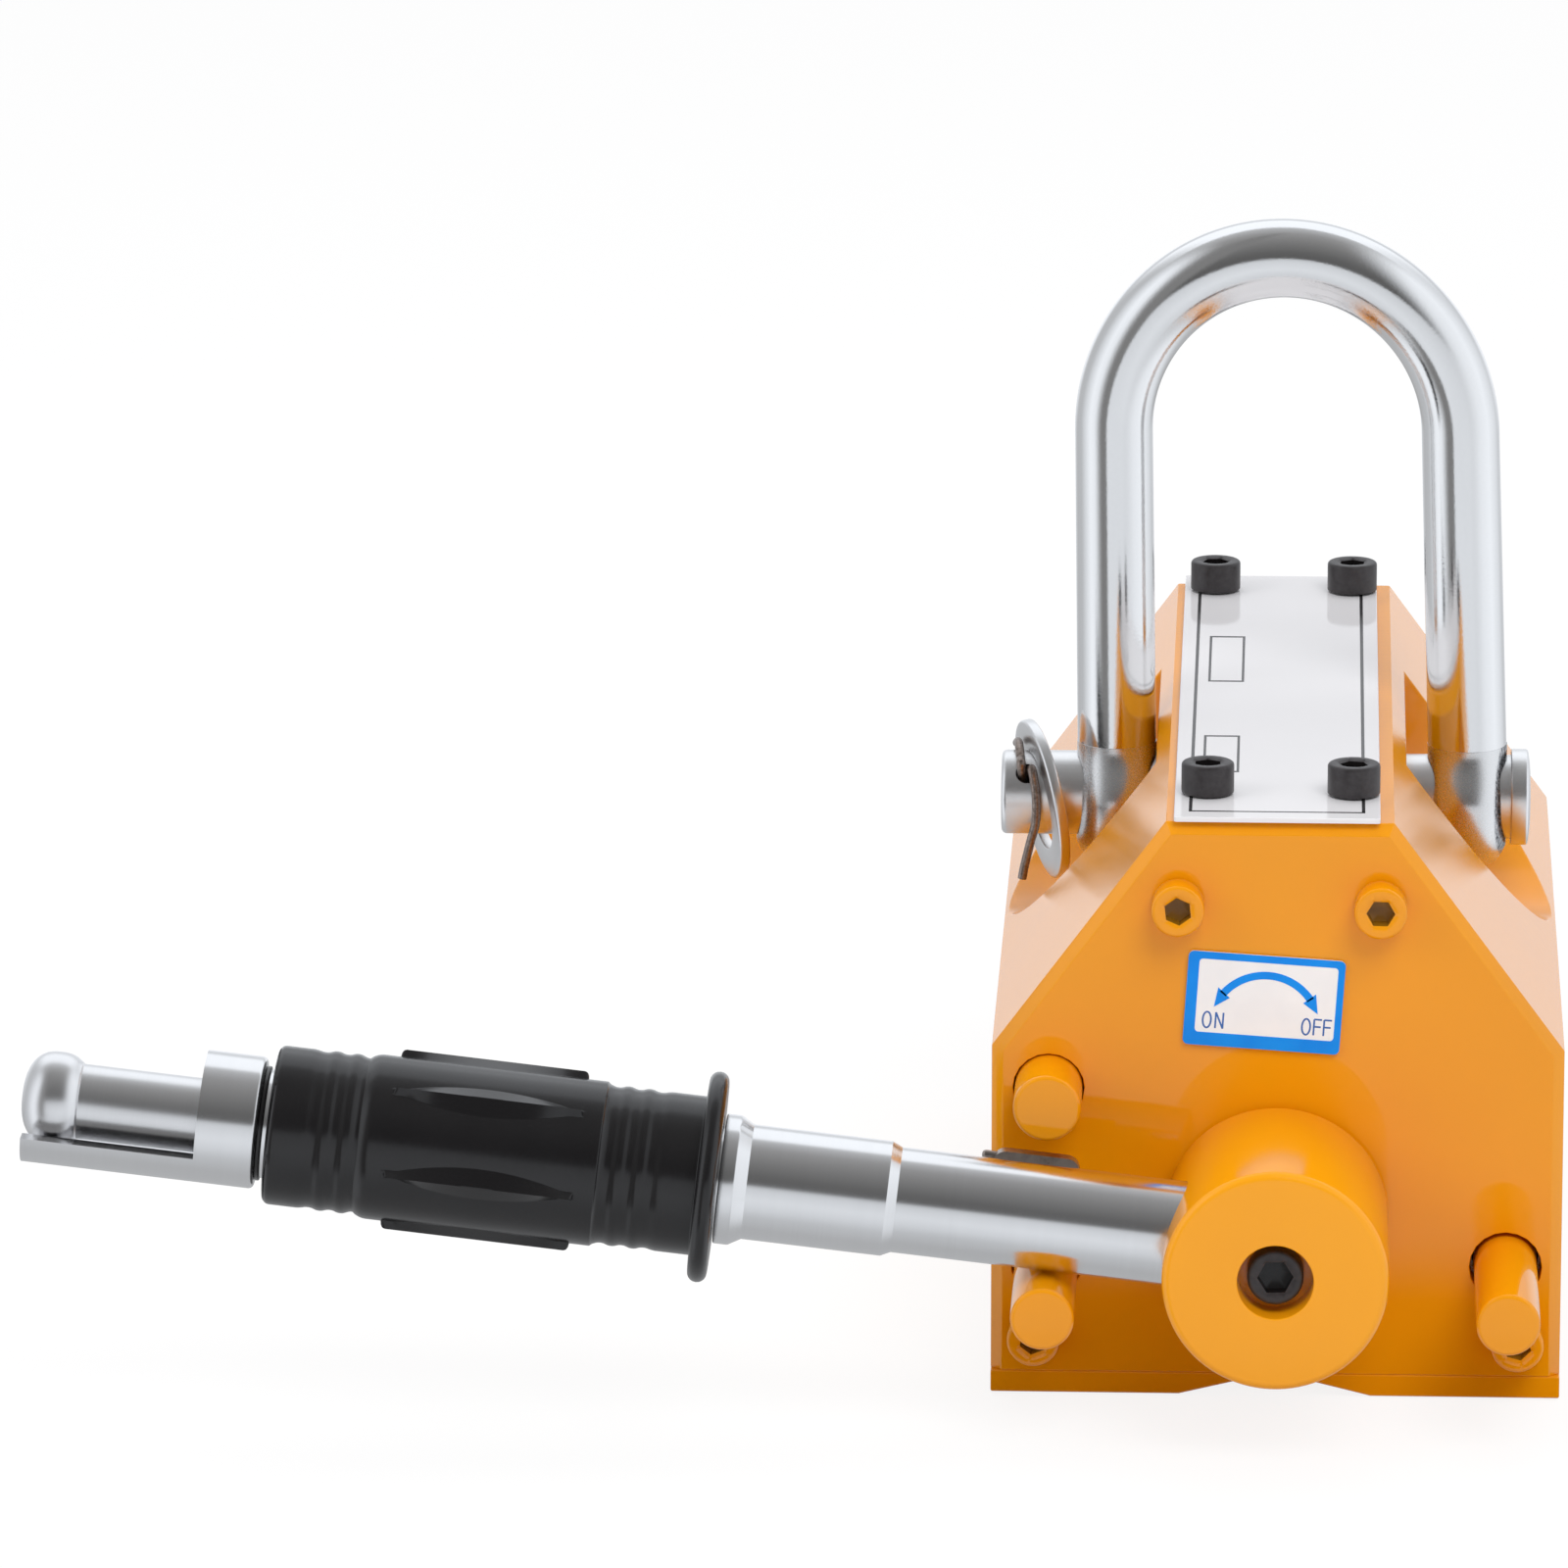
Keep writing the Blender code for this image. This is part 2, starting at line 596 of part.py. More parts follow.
def body_pin_holes():
    depth = -CORE_END + PIN_SINK + SEAT_GAP
    stop_radius = STOP_PIN_RADIUS + SEAT_GAP
    holes = [y_hole(side * STOP_PIN_X, STOP_PIN_Z, stop_radius, FRONT, depth) for side in (-1, 1)]
    holes.append(y_hole(LOCK_PIN_X, LOCK_PIN_Z, LOCK_PIN_RADIUS + SEAT_GAP, FRONT, depth))
    return holes


def cover(name, outer, inner):
    """Cover plate from its inner face to its chamfered outer face."""
    bm = prism(cover_outline(), inner, outer)
    floor = LEDGE_HEIGHT + SEAT_GAP
    rim = [edge for edge in bm.edges
           if all(abs(v.co.y - outer) < 1e-6 for v in edge.verts)
           and not all(abs(v.co.z - floor) < 1e-6 for v in edge.verts)]
    bmesh.ops.bevel(bm, geom=rim, offset=COVER_CHAMFER, segments=1, profile=0.5, affect="EDGES")
    piece = solid(name, bm, YELLOW_PAINT)
    low, high = min(inner, outer) - COVER_THICKNESS, max(inner, outer) + COVER_THICKNESS
    screw_radius = SCREW_RADIUS + THREAD_GAP
    holes = [y_hole(x, z, screw_radius, low, high, HOLE_SIDES) for x, z in cover_screw_places()]
    cut(piece, "screw_holes", merged(holes))
    return piece


def covers():
    front = cover("front_cover", FRONT, FRONT + COVER_THICKNESS)
    low, high = FRONT - COVER_THICKNESS, FRONT + 2 * COVER_THICKNESS
    cut(front, "shaft_hole", y_hole(0, AXIS_HEIGHT, BUSH_HOLE_RADIUS, low, high, TURNED_SIDES))
    stop_radius = STOP_PIN_RADIUS + STOP_PIN_COVER_GAP
    holes = [y_hole(side * STOP_PIN_X, STOP_PIN_Z, stop_radius, low, high) for side in (-1, 1)]
    holes.append(y_hole(LOCK_PIN_X, LOCK_PIN_Z, LOCK_PIN_RADIUS + SEAT_GAP, low, high))
    cut(front, "pin_holes", merged(holes))
    rear = cover("rear_cover", REAR, REAR - COVER_THICKNESS)
    inside = CORE_END - COVER_THICKNESS
    recess = y_hole(0, AXIS_HEIGHT, BUSH_HOLE_RADIUS, inside, REAR - REAR_WALL, TURNED_SIDES)
    cut(rear, "bush_recess", recess)


def cover_screws():
    length = COVER_THICKNESS + 2 * SEAT_GAP + COVER_SCREW_BITE
    shape = socket_screw(SCREW_RADIUS, length, SCREW_HEAD_RADIUS, SCREW_HEAD, SCREW_KEY)
    mesh = mesh_from("cover_screw", shape)
    for end, face, aim in (("front", FRONT - SEAT_GAP, ALONG_MINUS_Y), ("rear", REAR + SEAT_GAP, ALONG_Y)):
        for number, (x, z) in enumerate(cover_screw_places(), 1):
            screw = place(f"{end}_cover_screw_{number}", mesh, YELLOW_PAINT, (x, face, z))
            screw.rotation_euler = aim.to_euler()


def upper_magnet_box(end, gap, outer):
    """Box of a magnet over the bore at the -Y or +Y end, grown by gap, out to the given reach."""
    half = UPPER_MAGNET_WIDTH / 2 + gap
    floor = AXIS_HEIGHT + BORE_RADIUS + UPPER_MAGNET_WALL
    inner = SHACKLE_PIN_RADIUS + PIN_HOLE_GAP + UPPER_MAGNET_BRIDGE - gap
    low, high = sorted((end * inner, end * outer))
    return box((-half, low, floor - gap), (half, high, floor + UPPER_MAGNET_HEIGHT + gap))


def fixed_magnets():
    for end, name in ((-1, "upper_magnet_front"), (1, "upper_magnet_rear")):
        solid(name, upper_magnet_box(end, 0, CORE_END), MAGNET_GREY)


def pole_strip():
    half = STRIP_WIDTH / 2
    top = AXIS_HEIGHT - BORE_RADIUS - SEAT_GAP
    low = (-half, -CORE_END, top - STRIP_HEIGHT)
    solid("pole_strip", box(low, (half, CORE_END, top)), BRASS)


# ---------------------------------------------------------------- rotor

def pole_segment_outline(side):
    chord = MAGNET_THICKNESS / 2 + SEAT_GAP
    angle = math.acos(chord / ROTOR_RADIUS)
    points = arc((0, 0), ROTOR_RADIUS, -angle, angle, POLE_STEPS)
    return [(side * x, z) for x, z in points]


def rotor(axis):
    for side, name in ((-1, "rotor_pole_left"), (1, "rotor_pole_right")):
        shape = prism(pole_segment_outline(side), -BLOCK_END, BLOCK_END)
        pole = solid(name, shape, GREY_STEEL, (0, 0, 0), axis)
        depth = BLOCK_END - FLANGE_SCREW_LENGTH
        radius = FLANGE_SCREW_RADIUS + THREAD_GAP
        x = side * FLANGE_SCREW_X
        spans = ((-REAR, -depth), (depth, REAR))
        holes = [y_hole(x, 0, radius, low, high, HOLE_SIDES) for low, high in spans]
        cut(pole, "screw_holes", merged(holes))
    half = MAGNET_THICKNESS / 2
    height = ROTOR_RADIUS - MAGNET_EDGE
    for name, low, high in (("rotor_magnet_front", -BLOCK_END, -SEAT_GAP / 2),
                            ("rotor_magnet_rear", SEAT_GAP / 2, BLOCK_END)):
        solid(name, box((-half, low, -height), (half, high, height)), MAGNET_GREY, (0, 0, 0), axis)
    front_flange(axis)
    rear_flange(axis)
    flange_screws(axis)


def flange_screw_seats(face, inward):
    """Countersunk holes through a flange whose outer face is at the given y."""
    shapes = []
    radius = FLANGE_SCREW_RADIUS + THREAD_GAP
    head = radius + FLANGE_SCREW_HEAD
    for side in (-1, 1):
        seat = turned([(-FLANGE_THICKNESS, head + FLANGE_THICKNESS), (0, head), (FLANGE_SCREW_HEAD, radius),
                       (2 * FLANGE_THICKNESS, radius)], HOLE_SIDES)
        turn(seat, ALONG_Y if inward > 0 else ALONG_MINUS_Y)
        bmesh.ops.translate(seat, verts=seat.verts[:], vec=(side * FLANGE_SCREW_X, face, 0))
        shapes.append(seat)
    return merged(shapes)


def front_flange(axis):
    shape = turned([(-FLANGE_FACE, ROTOR_RADIUS), (-ROTOR_END, ROTOR_RADIUS), (-ROTOR_END, SHAFT_RADIUS),
                    (SHAFT_TIP, SHAFT_RADIUS)])
    piece = solid("rotor_front_flange", turn(shape, ALONG_Y), BRIGHT_STEEL, (0, 0, 0), axis)
    tapped_end = SHAFT_TIP + HUB_SCREW_GRIP
    tapped = y_hole(0, 0, HUB_SCREW_RADIUS + THREAD_GAP, HUB_FRONT, tapped_end, SCREW_SIDES)
    cut(piece, "tapped_hole", tapped)
    floor = SHAFT_RADIUS - KEY_SINK - SEAT_GAP
    half = KEY_WIDTH / 2 + SEAT_GAP
    back = SHAFT_TIP + KEY_LENGTH + SEAT_GAP
    cut(piece, "keyway", box((-half, HUB_FRONT, floor), (half, back, HUB_RADIUS)))
    cut(piece, "screw_seats", flange_screw_seats(-ROTOR_END, 1))


def rear_flange(axis):
    tip = REAR - REAR_WALL - RUN_GAP
    shape = turned([(FLANGE_FACE, ROTOR_RADIUS), (ROTOR_END, ROTOR_RADIUS), (ROTOR_END, SHAFT_RADIUS),
                    (tip, SHAFT_RADIUS)])
    piece = solid("rotor_rear_flange", turn(shape, ALONG_Y), BRIGHT_STEEL, (0, 0, 0), axis)
    cut(piece, "screw_seats", flange_screw_seats(ROTOR_END, -1))


def flange_screws(axis):
    head = FLANGE_SCREW_RADIUS + FLANGE_SCREW_HEAD - THREAD_GAP
    length = FLANGE_THICKNESS + FLANGE_SCREW_LENGTH - 2 * THREAD_GAP
    shape = turned([(THREAD_GAP, head), (FLANGE_SCREW_HEAD, FLANGE_SCREW_RADIUS),
                    (length, FLANGE_SCREW_RADIUS)], HOLE_SIDES)
    mesh = mesh_from("flange_screw", shape)
    for end, face, aim in (("front", -ROTOR_END, ALONG_Y), ("rear", ROTOR_END, ALONG_MINUS_Y)):
        for side, hand in ((-1, "left"), (1, "right")):
            spot = (side * FLANGE_SCREW_X, face, 0)
            screw = place(f"{end}_flange_screw_{hand}", mesh, BLACK_SCREW, spot, axis)
            screw.rotation_euler = aim.to_euler()


def bush(name, low, high, finish):
    inner = SHAFT_RADIUS + RUN_GAP
    shape = ring([(low, inner), (low, BUSH_RADIUS), (high, BUSH_RADIUS), (high, inner)], BUSH_SIDES)
    solid(name, turn(shape, ALONG_Y), finish, (0, 0, AXIS_HEIGHT))


def bushes():
    inside = FRONT + COVER_THICKNESS
    seal_back = FRONT + SEAT_GAP + SEAL_WIDTH
    bush("front_bush", seal_back + SEAT_GAP, inside, BRASS)
    bush("shaft_seal", FRONT + SEAT_GAP, seal_back, BLACK_RUBBER)
    bush("rear_bush", REAR - COVER_THICKNESS, REAR - REAR_WALL - SEAT_GAP, BRASS)


# ---------------------------------------------------------------- hub

def handle_hub(axis, handle):
    shank = HUB_SCREW_RADIUS + THREAD_GAP
    socket = SHAFT_RADIUS + SEAT_GAP
    socket_floor = HUB_REAR - SOCKET_DEPTH
    section = [(HUB_REAR, socket), (HUB_REAR, HUB_RADIUS), (HUB_FRONT + HUB_CHAMFER, HUB_RADIUS),
               (HUB_FRONT, HUB_RADIUS - HUB_CHAMFER), (HUB_FRONT, COUNTERBORE_RADIUS),
               (SCREW_SEAT_Y, COUNTERBORE_RADIUS), (SCREW_SEAT_Y, shank), (socket_floor, shank),
               (socket_floor, socket)]
    piece = solid("handle_hub", turn(ring(section, HUB_SIDES), ALONG_Y), YELLOW_PAINT, (0, 0, 0), axis)
    hole = cut(piece, "bar_hole", rod(BAR_HOLE_RADIUS, -BAR_TAIL - SEAT_GAP, 2 * HUB_RADIUS, BUSH_SIDES))
    hole.parent = handle
    half = KEY_WIDTH / 2 + SEAT_GAP
    top = SHAFT_RADIUS + KEY_SINK + SEAT_GAP
    cut(piece, "keyway", box((-half, socket_floor, 0), (half, FRONT, top)))


def hub_screw(axis):
    length = SCREW_SEAT_Y - SEAT_GAP - (SHAFT_TIP + HUB_SCREW_GRIP - THREAD_GAP)
    shape = socket_screw(HUB_SCREW_RADIUS, -length, HUB_SCREW_HEAD_RADIUS, HUB_SCREW_HEAD, HUB_SCREW_KEY)
    turn(shape, ALONG_MINUS_Y)
    solid("hub_screw", shape, BLACK_SCREW, (0, SCREW_SEAT_Y - SEAT_GAP, 0), axis)


def drive_key(axis):
    half = KEY_WIDTH / 2
    low = (-half, SHAFT_TIP, SHAFT_RADIUS - KEY_SINK)
    solid("drive_key", box(low, (half, SHAFT_TIP + KEY_LENGTH, SHAFT_RADIUS + KEY_SINK)), BRIGHT_STEEL,
          (0, 0, 0), axis)


# ---------------------------------------------------------------- handle bar (Z outward, X up, Y to the rear)

def handle_bar(handle):
    under_grip = GRIP_START - SEAT_GAP
    bore = ROD_RADIUS + RUN_GAP
    bore_end = LATCH_START - BUTTON_STROKE - LATCH_THICKNESS / 2
    shape = turned([(-BAR_TAIL, BAR_RADIUS - BAR_CHAMFER), (-BAR_TAIL + BAR_CHAMFER, BAR_RADIUS),
                    (SLEEVE_START, BAR_RADIUS), (SLEEVE_START + SLEEVE_STEP, SLEEVE_RADIUS),
                    (COLLAR_START, SLEEVE_RADIUS), (COLLAR_START, COLLAR_RADIUS),
                    (under_grip, COLLAR_RADIUS), (under_grip, GRIP_CORE_RADIUS),
                    (SPIGOT_START, GRIP_CORE_RADIUS), (SPIGOT_START, SPIGOT_RADIUS), (BAR_END, SPIGOT_RADIUS),
                    (BAR_END, CHAMBER_RADIUS), (SPRING_START, CHAMBER_RADIUS), (SPRING_START, bore),
                    (bore_end, bore)], ROD_SIDES)
    piece = solid("handle_bar", shape, BRIGHT_STEEL, (0, 0, 0), handle)
    across = 2 * BAR_RADIUS
    crossing = y_hole(-HANDLE_OFFSET, 0, HUB_SCREW_RADIUS + THREAD_GAP, -across, across, SCREW_SIDES)
    cut(piece, "screw_hole", crossing)
    low = LATCH_START - BUTTON_STROKE - SEAT_GAP
    high = LATCH_START + LATCH_LENGTH + SEAT_GAP
    web = LATCH_WEB / 2 + SEAT_GAP
    leg = BAR_RADIUS - LATCH_THICKNESS - SEAT_GAP
    cut(piece, "latch_slot", box((-web, 0, low), (web, across, high)))
    cut(piece, "latch_window", box((0, leg, low), (across, across, high)))


def latch_plate(handle):
    """L-shaped plate: a web through the bar's slot and a leg standing at its rear."""
    half = LATCH_WEB / 2
    end = LATCH_START + LATCH_LENGTH
    corner = (BAR_RADIUS - LATCH_CORNER, LATCH_START + LATCH_CORNER)
    outline = [(-half, LATCH_START)]
    outline += arc(corner, LATCH_CORNER, -math.pi / 2, 0, CORNER_STEPS)
    outline += [(BAR_RADIUS, end), (-half, end)]
    leg_front = BAR_RADIUS - LATCH_THICKNESS
    piece = solid("latch_plate", prism(outline, leg_front, BAR_RADIUS), GREY_STEEL, (0, 0, 0), handle)
    web_end = leg_front + LATCH_THICKNESS / 2
    join(piece, "web", box((-half, -ROD_RADIUS, LATCH_START), (half, web_end, end)))
    cut(piece, "pin_hole", latch_pin_hole(), (0, 0, LATCH_START + LATCH_LENGTH / 2))


def latch_pin_hole():
    return turn(rod(LATCH_PIN_RADIUS + SEAT_GAP, -BAR_RADIUS, BAR_RADIUS, HOLE_SIDES), ALONG_X)


def release_rod(handle):
    tip = LATCH_START + SEAT_GAP
    shape = rod(ROD_RADIUS, tip, BUTTON_STEM_START + ROD_SOCKET, PIN_SIDES)
    piece = solid("release_rod", shape, BRIGHT_STEEL, (0, 0, 0), handle)
    half = LATCH_WEB / 2 + SEAT_GAP
    end = LATCH_START + LATCH_LENGTH + SEAT_GAP
    cut(piece, "fork", box((-half, -BAR_RADIUS, 0), (half, BAR_RADIUS, end)))
    cut(piece, "pin_hole", latch_pin_hole(), (0, 0, LATCH_START + LATCH_LENGTH / 2))


def latch_pin(handle):
    reach = ROD_RADIUS - SEAT_GAP
    shape = turn(rod(LATCH_PIN_RADIUS, -reach, reach, HOLE_SIDES), ALONG_X)
    solid("latch_pin", shape, BRIGHT_STEEL, (0, 0, LATCH_START + LATCH_LENGTH / 2), handle)


def release_button(handle):
    socket = ROD_RADIUS + SEAT_GAP
    centre = (BUTTON_REACH - BUTTON_DOME, BUTTON_HEAD_RADIUS - BUTTON_DOME)
    crown = arc(centre, BUTTON_DOME, math.pi / 2, 0, 2)
    shape = turned([(BUTTON_STEM_START + ROD_SOCKET + SEAT_GAP, socket), (BUTTON_STEM_START, socket),
                    (BUTTON_STEM_START, BUTTON_STEM_RADIUS), (BUTTON_HEAD_START, BUTTON_STEM_RADIUS),
                    (BUTTON_HEAD_START + BUTTON_LIP, BUTTON_HEAD_RADIUS)] + crown, PIN_SIDES)
    solid("release_button", shape, ZINC, (0, 0, 0), handle)


def end_guard(handle):
    socket = SPIGOT_RADIUS + SEAT_GAP
    floor = BAR_END + SEAT_GAP
    section = [(GUARD_START, socket), (GUARD_START, GUARD_RADIUS), (GUARD_REACH, GUARD_RADIUS),
               (GUARD_REACH, TONGUE_BORE), (GUARD_COLLAR_END, TONGUE_BORE),
               (GUARD_COLLAR_END, CHAMBER_RADIUS), (floor, CHAMBER_RADIUS), (floor, socket)]
    piece = solid("end_guard", ring(section, BUSH_SIDES), BRIGHT_STEEL, (0, 0, 0), handle)
    wide = 2 * GUARD_RADIUS
    cut(piece, "open_top", box((-TONGUE_DROP, -wide, GUARD_COLLAR_END), (wide, wide, 2 * GUARD_REACH)))


def return_spring(handle):
    low = SPRING_START + SEAT_GAP + SPRING_WIRE
    high = BUTTON_STEM_START - SEAT_GAP - SPRING_WIRE
    points = SPRING_TURNS * SPRING_TURN_POINTS
    curve = bpy.data.curves.new("return_spring", "CURVE")
    curve.dimensions = "3D"
    curve.bevel_depth = SPRING_WIRE
    curve.bevel_resolution = 0
    curve.use_fill_caps = True
    line = curve.splines.new("POLY")
    line.points.add(points)
    for i, point in enumerate(line.points):
        share = i / points
        angle = math.tau * SPRING_TURNS * share
        point.co = (SPRING_RADIUS * math.cos(angle), SPRING_RADIUS * math.sin(angle),
                    low + (high - low) * share, 1)
    spring = bpy.data.objects.new("return_spring", curve)
    spring.parent = handle
    curve.materials.append(own_material("return_spring", BRIGHT_STEEL))
    bpy.context.scene.collection.objects.link(spring)


def grip_grooves(start, step):
    """Section points of the grooves and the rings between them, from the barrel's end outwards."""
    points = []
    for i in range(GRIP_GROOVE_COUNT):
        station = start + step * (i + 0.5)
        points.append((station, GRIP_NECK_RADIUS - GRIP_GROOVE_DEPTH))
        if i < GRIP_GROOVE_COUNT - 1:
            points.append((station + step / 2, GRIP_NECK_RADIUS + GRIP_RING_STEP))
    return points + [(start + step * GRIP_GROOVE_COUNT, GRIP_NECK_RADIUS)]


def rib_stations():
    start, end = BARREL_START + RIB_MARGIN, BARREL_END - RIB_MARGIN
    inner = [start + (end - start) * share for share in (0.25, 0.5, 0.75)]
    return [start, start + RIB_NOSE] + inner + [end - RIB_NOSE, end]


def rubber_grip(handle):
    """Hollow grip: flange, ringed end sections and a barrel with lens-shaped ribs."""
    bore = GRIP_CORE_RADIUS + SEAT_GAP
    edge = GRIP_FLANGE_WIDTH / 3
    flange_end = GRIP_START + GRIP_FLANGE_WIDTH
    stations = rib_stations()
    section = [(GRIP_START, bore), (GRIP_START, GRIP_FLANGE_RADIUS - edge),
               (GRIP_START + edge, GRIP_FLANGE_RADIUS), (flange_end - edge, GRIP_FLANGE_RADIUS),
               (flange_end, GRIP_FLANGE_RADIUS - edge), (flange_end, GRIP_NECK_RADIUS)]
    section += reversed(grip_grooves(BARREL_START, -GRIP_GROOVE_PITCH))
    section += [(station, GRIP_RADIUS) for station in [BARREL_START] + stations + [BARREL_END]]
    section += grip_grooves(BARREL_END, GRIP_GROOVE_PITCH)
    section += [(GRIP_END, GRIP_NECK_RADIUS), (GRIP_END, bore)]
    bm = ring(section, RIB_COUNT * RIB_SIDES)
    raise_ribs(bm, stations)
    turn(bm, Matrix.Rotation(RIB_PHASE, 4, "Z"))
    solid("rubber_grip", bm, BLACK_RUBBER, (0, 0, 0), handle)


def raise_ribs(bm, stations):
    """Lifts every RIB_SIDES-th row of the barrel to a ridge and draws its neighbours to a lens shape."""
    middle = (stations[0] + stations[-1]) / 2
    half = (stations[-1] - stations[0]) / 2
    side = math.tau / (RIB_COUNT * RIB_SIDES)
    for vert in bm.verts:
        along = (vert.co.z - middle) / half
        if abs(vert.co.xy.length - GRIP_RADIUS) > 1e-6 or abs(along) > 1 + 1e-6:
            continue
        row = round(math.atan2(vert.co.y, vert.co.x) / side)
        place_in_rib = (row + RIB_SIDES // 2) % RIB_SIDES - RIB_SIDES // 2
        if place_in_rib == 0 and abs(along) < 1 - 1e-6:
            vert.co.xy *= (GRIP_RADIUS + RIB_HEIGHT) / GRIP_RADIUS
        elif abs(place_in_rib) == 1:
            angle = RIB_HALF_ANGLE * max(1 - along * along, RIB_END_SHARE)
            turned_by = place_in_rib * (angle - side)
            vert.co.rotate(Matrix.Rotation(turned_by, 3, "Z"))


# ---------------------------------------------------------------- pins in the cover

def cover_pins():
    back = -CORE_END + PIN_SINK
    for side, name in ((-1, "stop_pin_left"), (1, "stop_pin_right")):
        shape = turn(chamfered_rod(STOP_PIN_RADIUS, STOP_PIN_TIP, back, PIN_CHAMFER), ALONG_Y)
        solid(name, shape, YELLOW_PAINT, (side * STOP_PIN_X, 0, STOP_PIN_Z))
    shape = turn(chamfered_rod(LOCK_PIN_RADIUS, LOCK_PIN_TIP, back, PIN_CHAMFER), ALONG_Y)
    solid("lock_pin", shape, YELLOW_PAINT, (LOCK_PIN_X, 0, LOCK_PIN_Z))


# ---------------------------------------------------------------- nameplate and label

def nameplate():
    low = (NAMEPLATE_SHIFT - NAMEPLATE_WIDTH / 2, FRONT, BODY_HEIGHT + SEAT_GAP)
    high = (NAMEPLATE_SHIFT + NAMEPLATE_WIDTH / 2, REAR, RIDGE_TOP)
    piece = solid("nameplate", box(low, high), SILVER_PLATE)
    holes = []
    for x, y in plate_screw_places():
        hole = rod(SCREW_RADIUS + THREAD_GAP, BODY_HEIGHT, RIDGE_TOP + SCREW_HEAD, HOLE_SIDES)
        bmesh.ops.translate(hole, verts=hole.verts[:], vec=(x, y, 0))
        holes.append(hole)
    cut(piece, "screw_holes", merged(holes))
    length = RIDGE_TOP + SEAT_GAP - BODY_HEIGHT + PLATE_SCREW_BITE
    shape = socket_screw(SCREW_RADIUS, length, SCREW_HEAD_RADIUS, SCREW_HEAD, SCREW_KEY)
    mesh = mesh_from("nameplate_screw", shape)
    for number, (x, y) in enumerate(plate_screw_places(), 1):
        place(f"nameplate_screw_{number}", mesh, BLACK_SCREW, (x, y, RIDGE_TOP + SEAT_GAP))


def on_off_label():
    outline = rounded_rectangle(LABEL_WIDTH, LABEL_HEIGHT, LABEL_CORNER, LABEL_CORNER_STEPS)
    piece = solid("on_off_label", prism(outline, -LABEL_THICKNESS, 0), WHITE_LABEL,
                  (LABEL_X, FRONT - SEAT_GAP, BODY_HEIGHT - LABEL_DROP))
    piece.rotation_euler = (0, LABEL_TURN, 0)


# ---------------------------------------------------------------- shackle

def shackle(pivot):
    turn_centre = SHACKLE_RISE - SHACKLE_HALF
    bm = bmesh.new()
    circle = bmesh.ops.create_circle(bm, segments=SHACKLE_SIDES, radius=SHACKLE_BAR,
                                     matrix=Matrix.Translation((SHACKLE_HALF, 0, turn_centre)))
    edges = list({edge for vert in circle["verts"] for edge in vert.link_edges})
    swept = bmesh.ops.spin(bm, geom=circle["verts"] + edges, cent=(0, 0, turn_centre), axis=(0, -1, 0),
                           angle=math.pi, steps=SHACKLE_BENDS)
    last = [item for item in swept["geom_last"] if isinstance(item, bmesh.types.BMEdge)]
    for loop in (edges, last):
        leg = bmesh.ops.extrude_edge_only(bm, edges=loop)
        verts = [item for item in leg["geom"] if isinstance(item, bmesh.types.BMVert)]
        bmesh.ops.translate(bm, verts=verts, vec=(0, 0, -turn_centre + EYE_CENTRE_RADIUS))
        bm.faces.new(verts_in_loop(verts))
    bmesh.ops.translate(bm, verts=bm.verts[:], vec=(SHACKLE_SHIFT, 0, 0))
    piece = solid("shackle", bm, ZINC, (0, 0, 0), pivot)
    for centre, name in ((EYE_LEFT, "left_eye"), (EYE_RIGHT, "right_eye")):
        rim = arc((centre, EYE_CENTRE_RADIUS), EYE_HALF_WIDTH, math.pi, 0, EYE_STEPS)
        join(piece, name, turn(turned(rim, BUSH_SIDES), ALONG_X))
    hole = turn(rod(SHACKLE_PIN_RADIUS + PIN_HOLE_GAP, -BODY_WIDTH, BODY_WIDTH), ALONG_X)
    cut(piece, "pin_holes", hole)


def verts_in_loop(verts):
    """A flat ring of vertices in order round its centre."""
    centre = sum((vert.co for vert in verts), Vector()) / len(verts)
    return sorted(verts, key=lambda vert: math.atan2(vert.co.y - centre.y, vert.co.x - centre.x))


def shackle_pin():
    chamfer = SHACKLE_PIN_CHAMFER
    head_end = PIN_HEAD_X + PIN_HEAD_WIDTH
    head_radius = SHACKLE_PIN_RADIUS + PIN_HEAD_STEP
    shape = turned([(PIN_TAIL_X, SHACKLE_PIN_RADIUS - chamfer), (PIN_TAIL_X + chamfer, SHACKLE_PIN_RADIUS),
                    (PIN_HEAD_X, SHACKLE_PIN_RADIUS), (PIN_HEAD_X, head_radius),
                    (head_end, head_radius)], ROD_SIDES)
    piece = solid("shackle_pin", turn(shape, ALONG_X), ZINC, (0, 0, PIN_HEIGHT))
    reach = 2 * SHACKLE_PIN_RADIUS
    hole = y_hole(0, 0, SPLIT_HOLE_RADIUS, -reach, reach, SCREW_SIDES)
    turn(hole, Matrix.Rotation(-SPLIT_HOLE_ANGLE, 4, "X"))
    cut(piece, "split_hole", hole, (SPLIT_HOLE_X, 0, PIN_HEIGHT))


def washer():
    half = WASHER_THICKNESS / 2
    rim = WASHER_BORE + WASHER_WALL
    shape = ring([(-half, WASHER_BORE), (-half, rim), (half, rim), (half, WASHER_BORE)], BUSH_SIDES)
    tilt = Matrix.Rotation(WASHER_TURN, 4, "Z") @ Matrix.Rotation(-WASHER_LEAN, 4, "Y") @ ALONG_X
    x = EYE_LEFT - EYE_HALF_WIDTH - WASHER_GAP
    slack = WASHER_BORE * math.cos(WASHER_TURN) - half * math.sin(WASHER_TURN) - SHACKLE_PIN_RADIUS
    solid("washer", turn(shape, tilt), ZINC, (x, 0, PIN_HEIGHT - slack + SEAT_GAP))


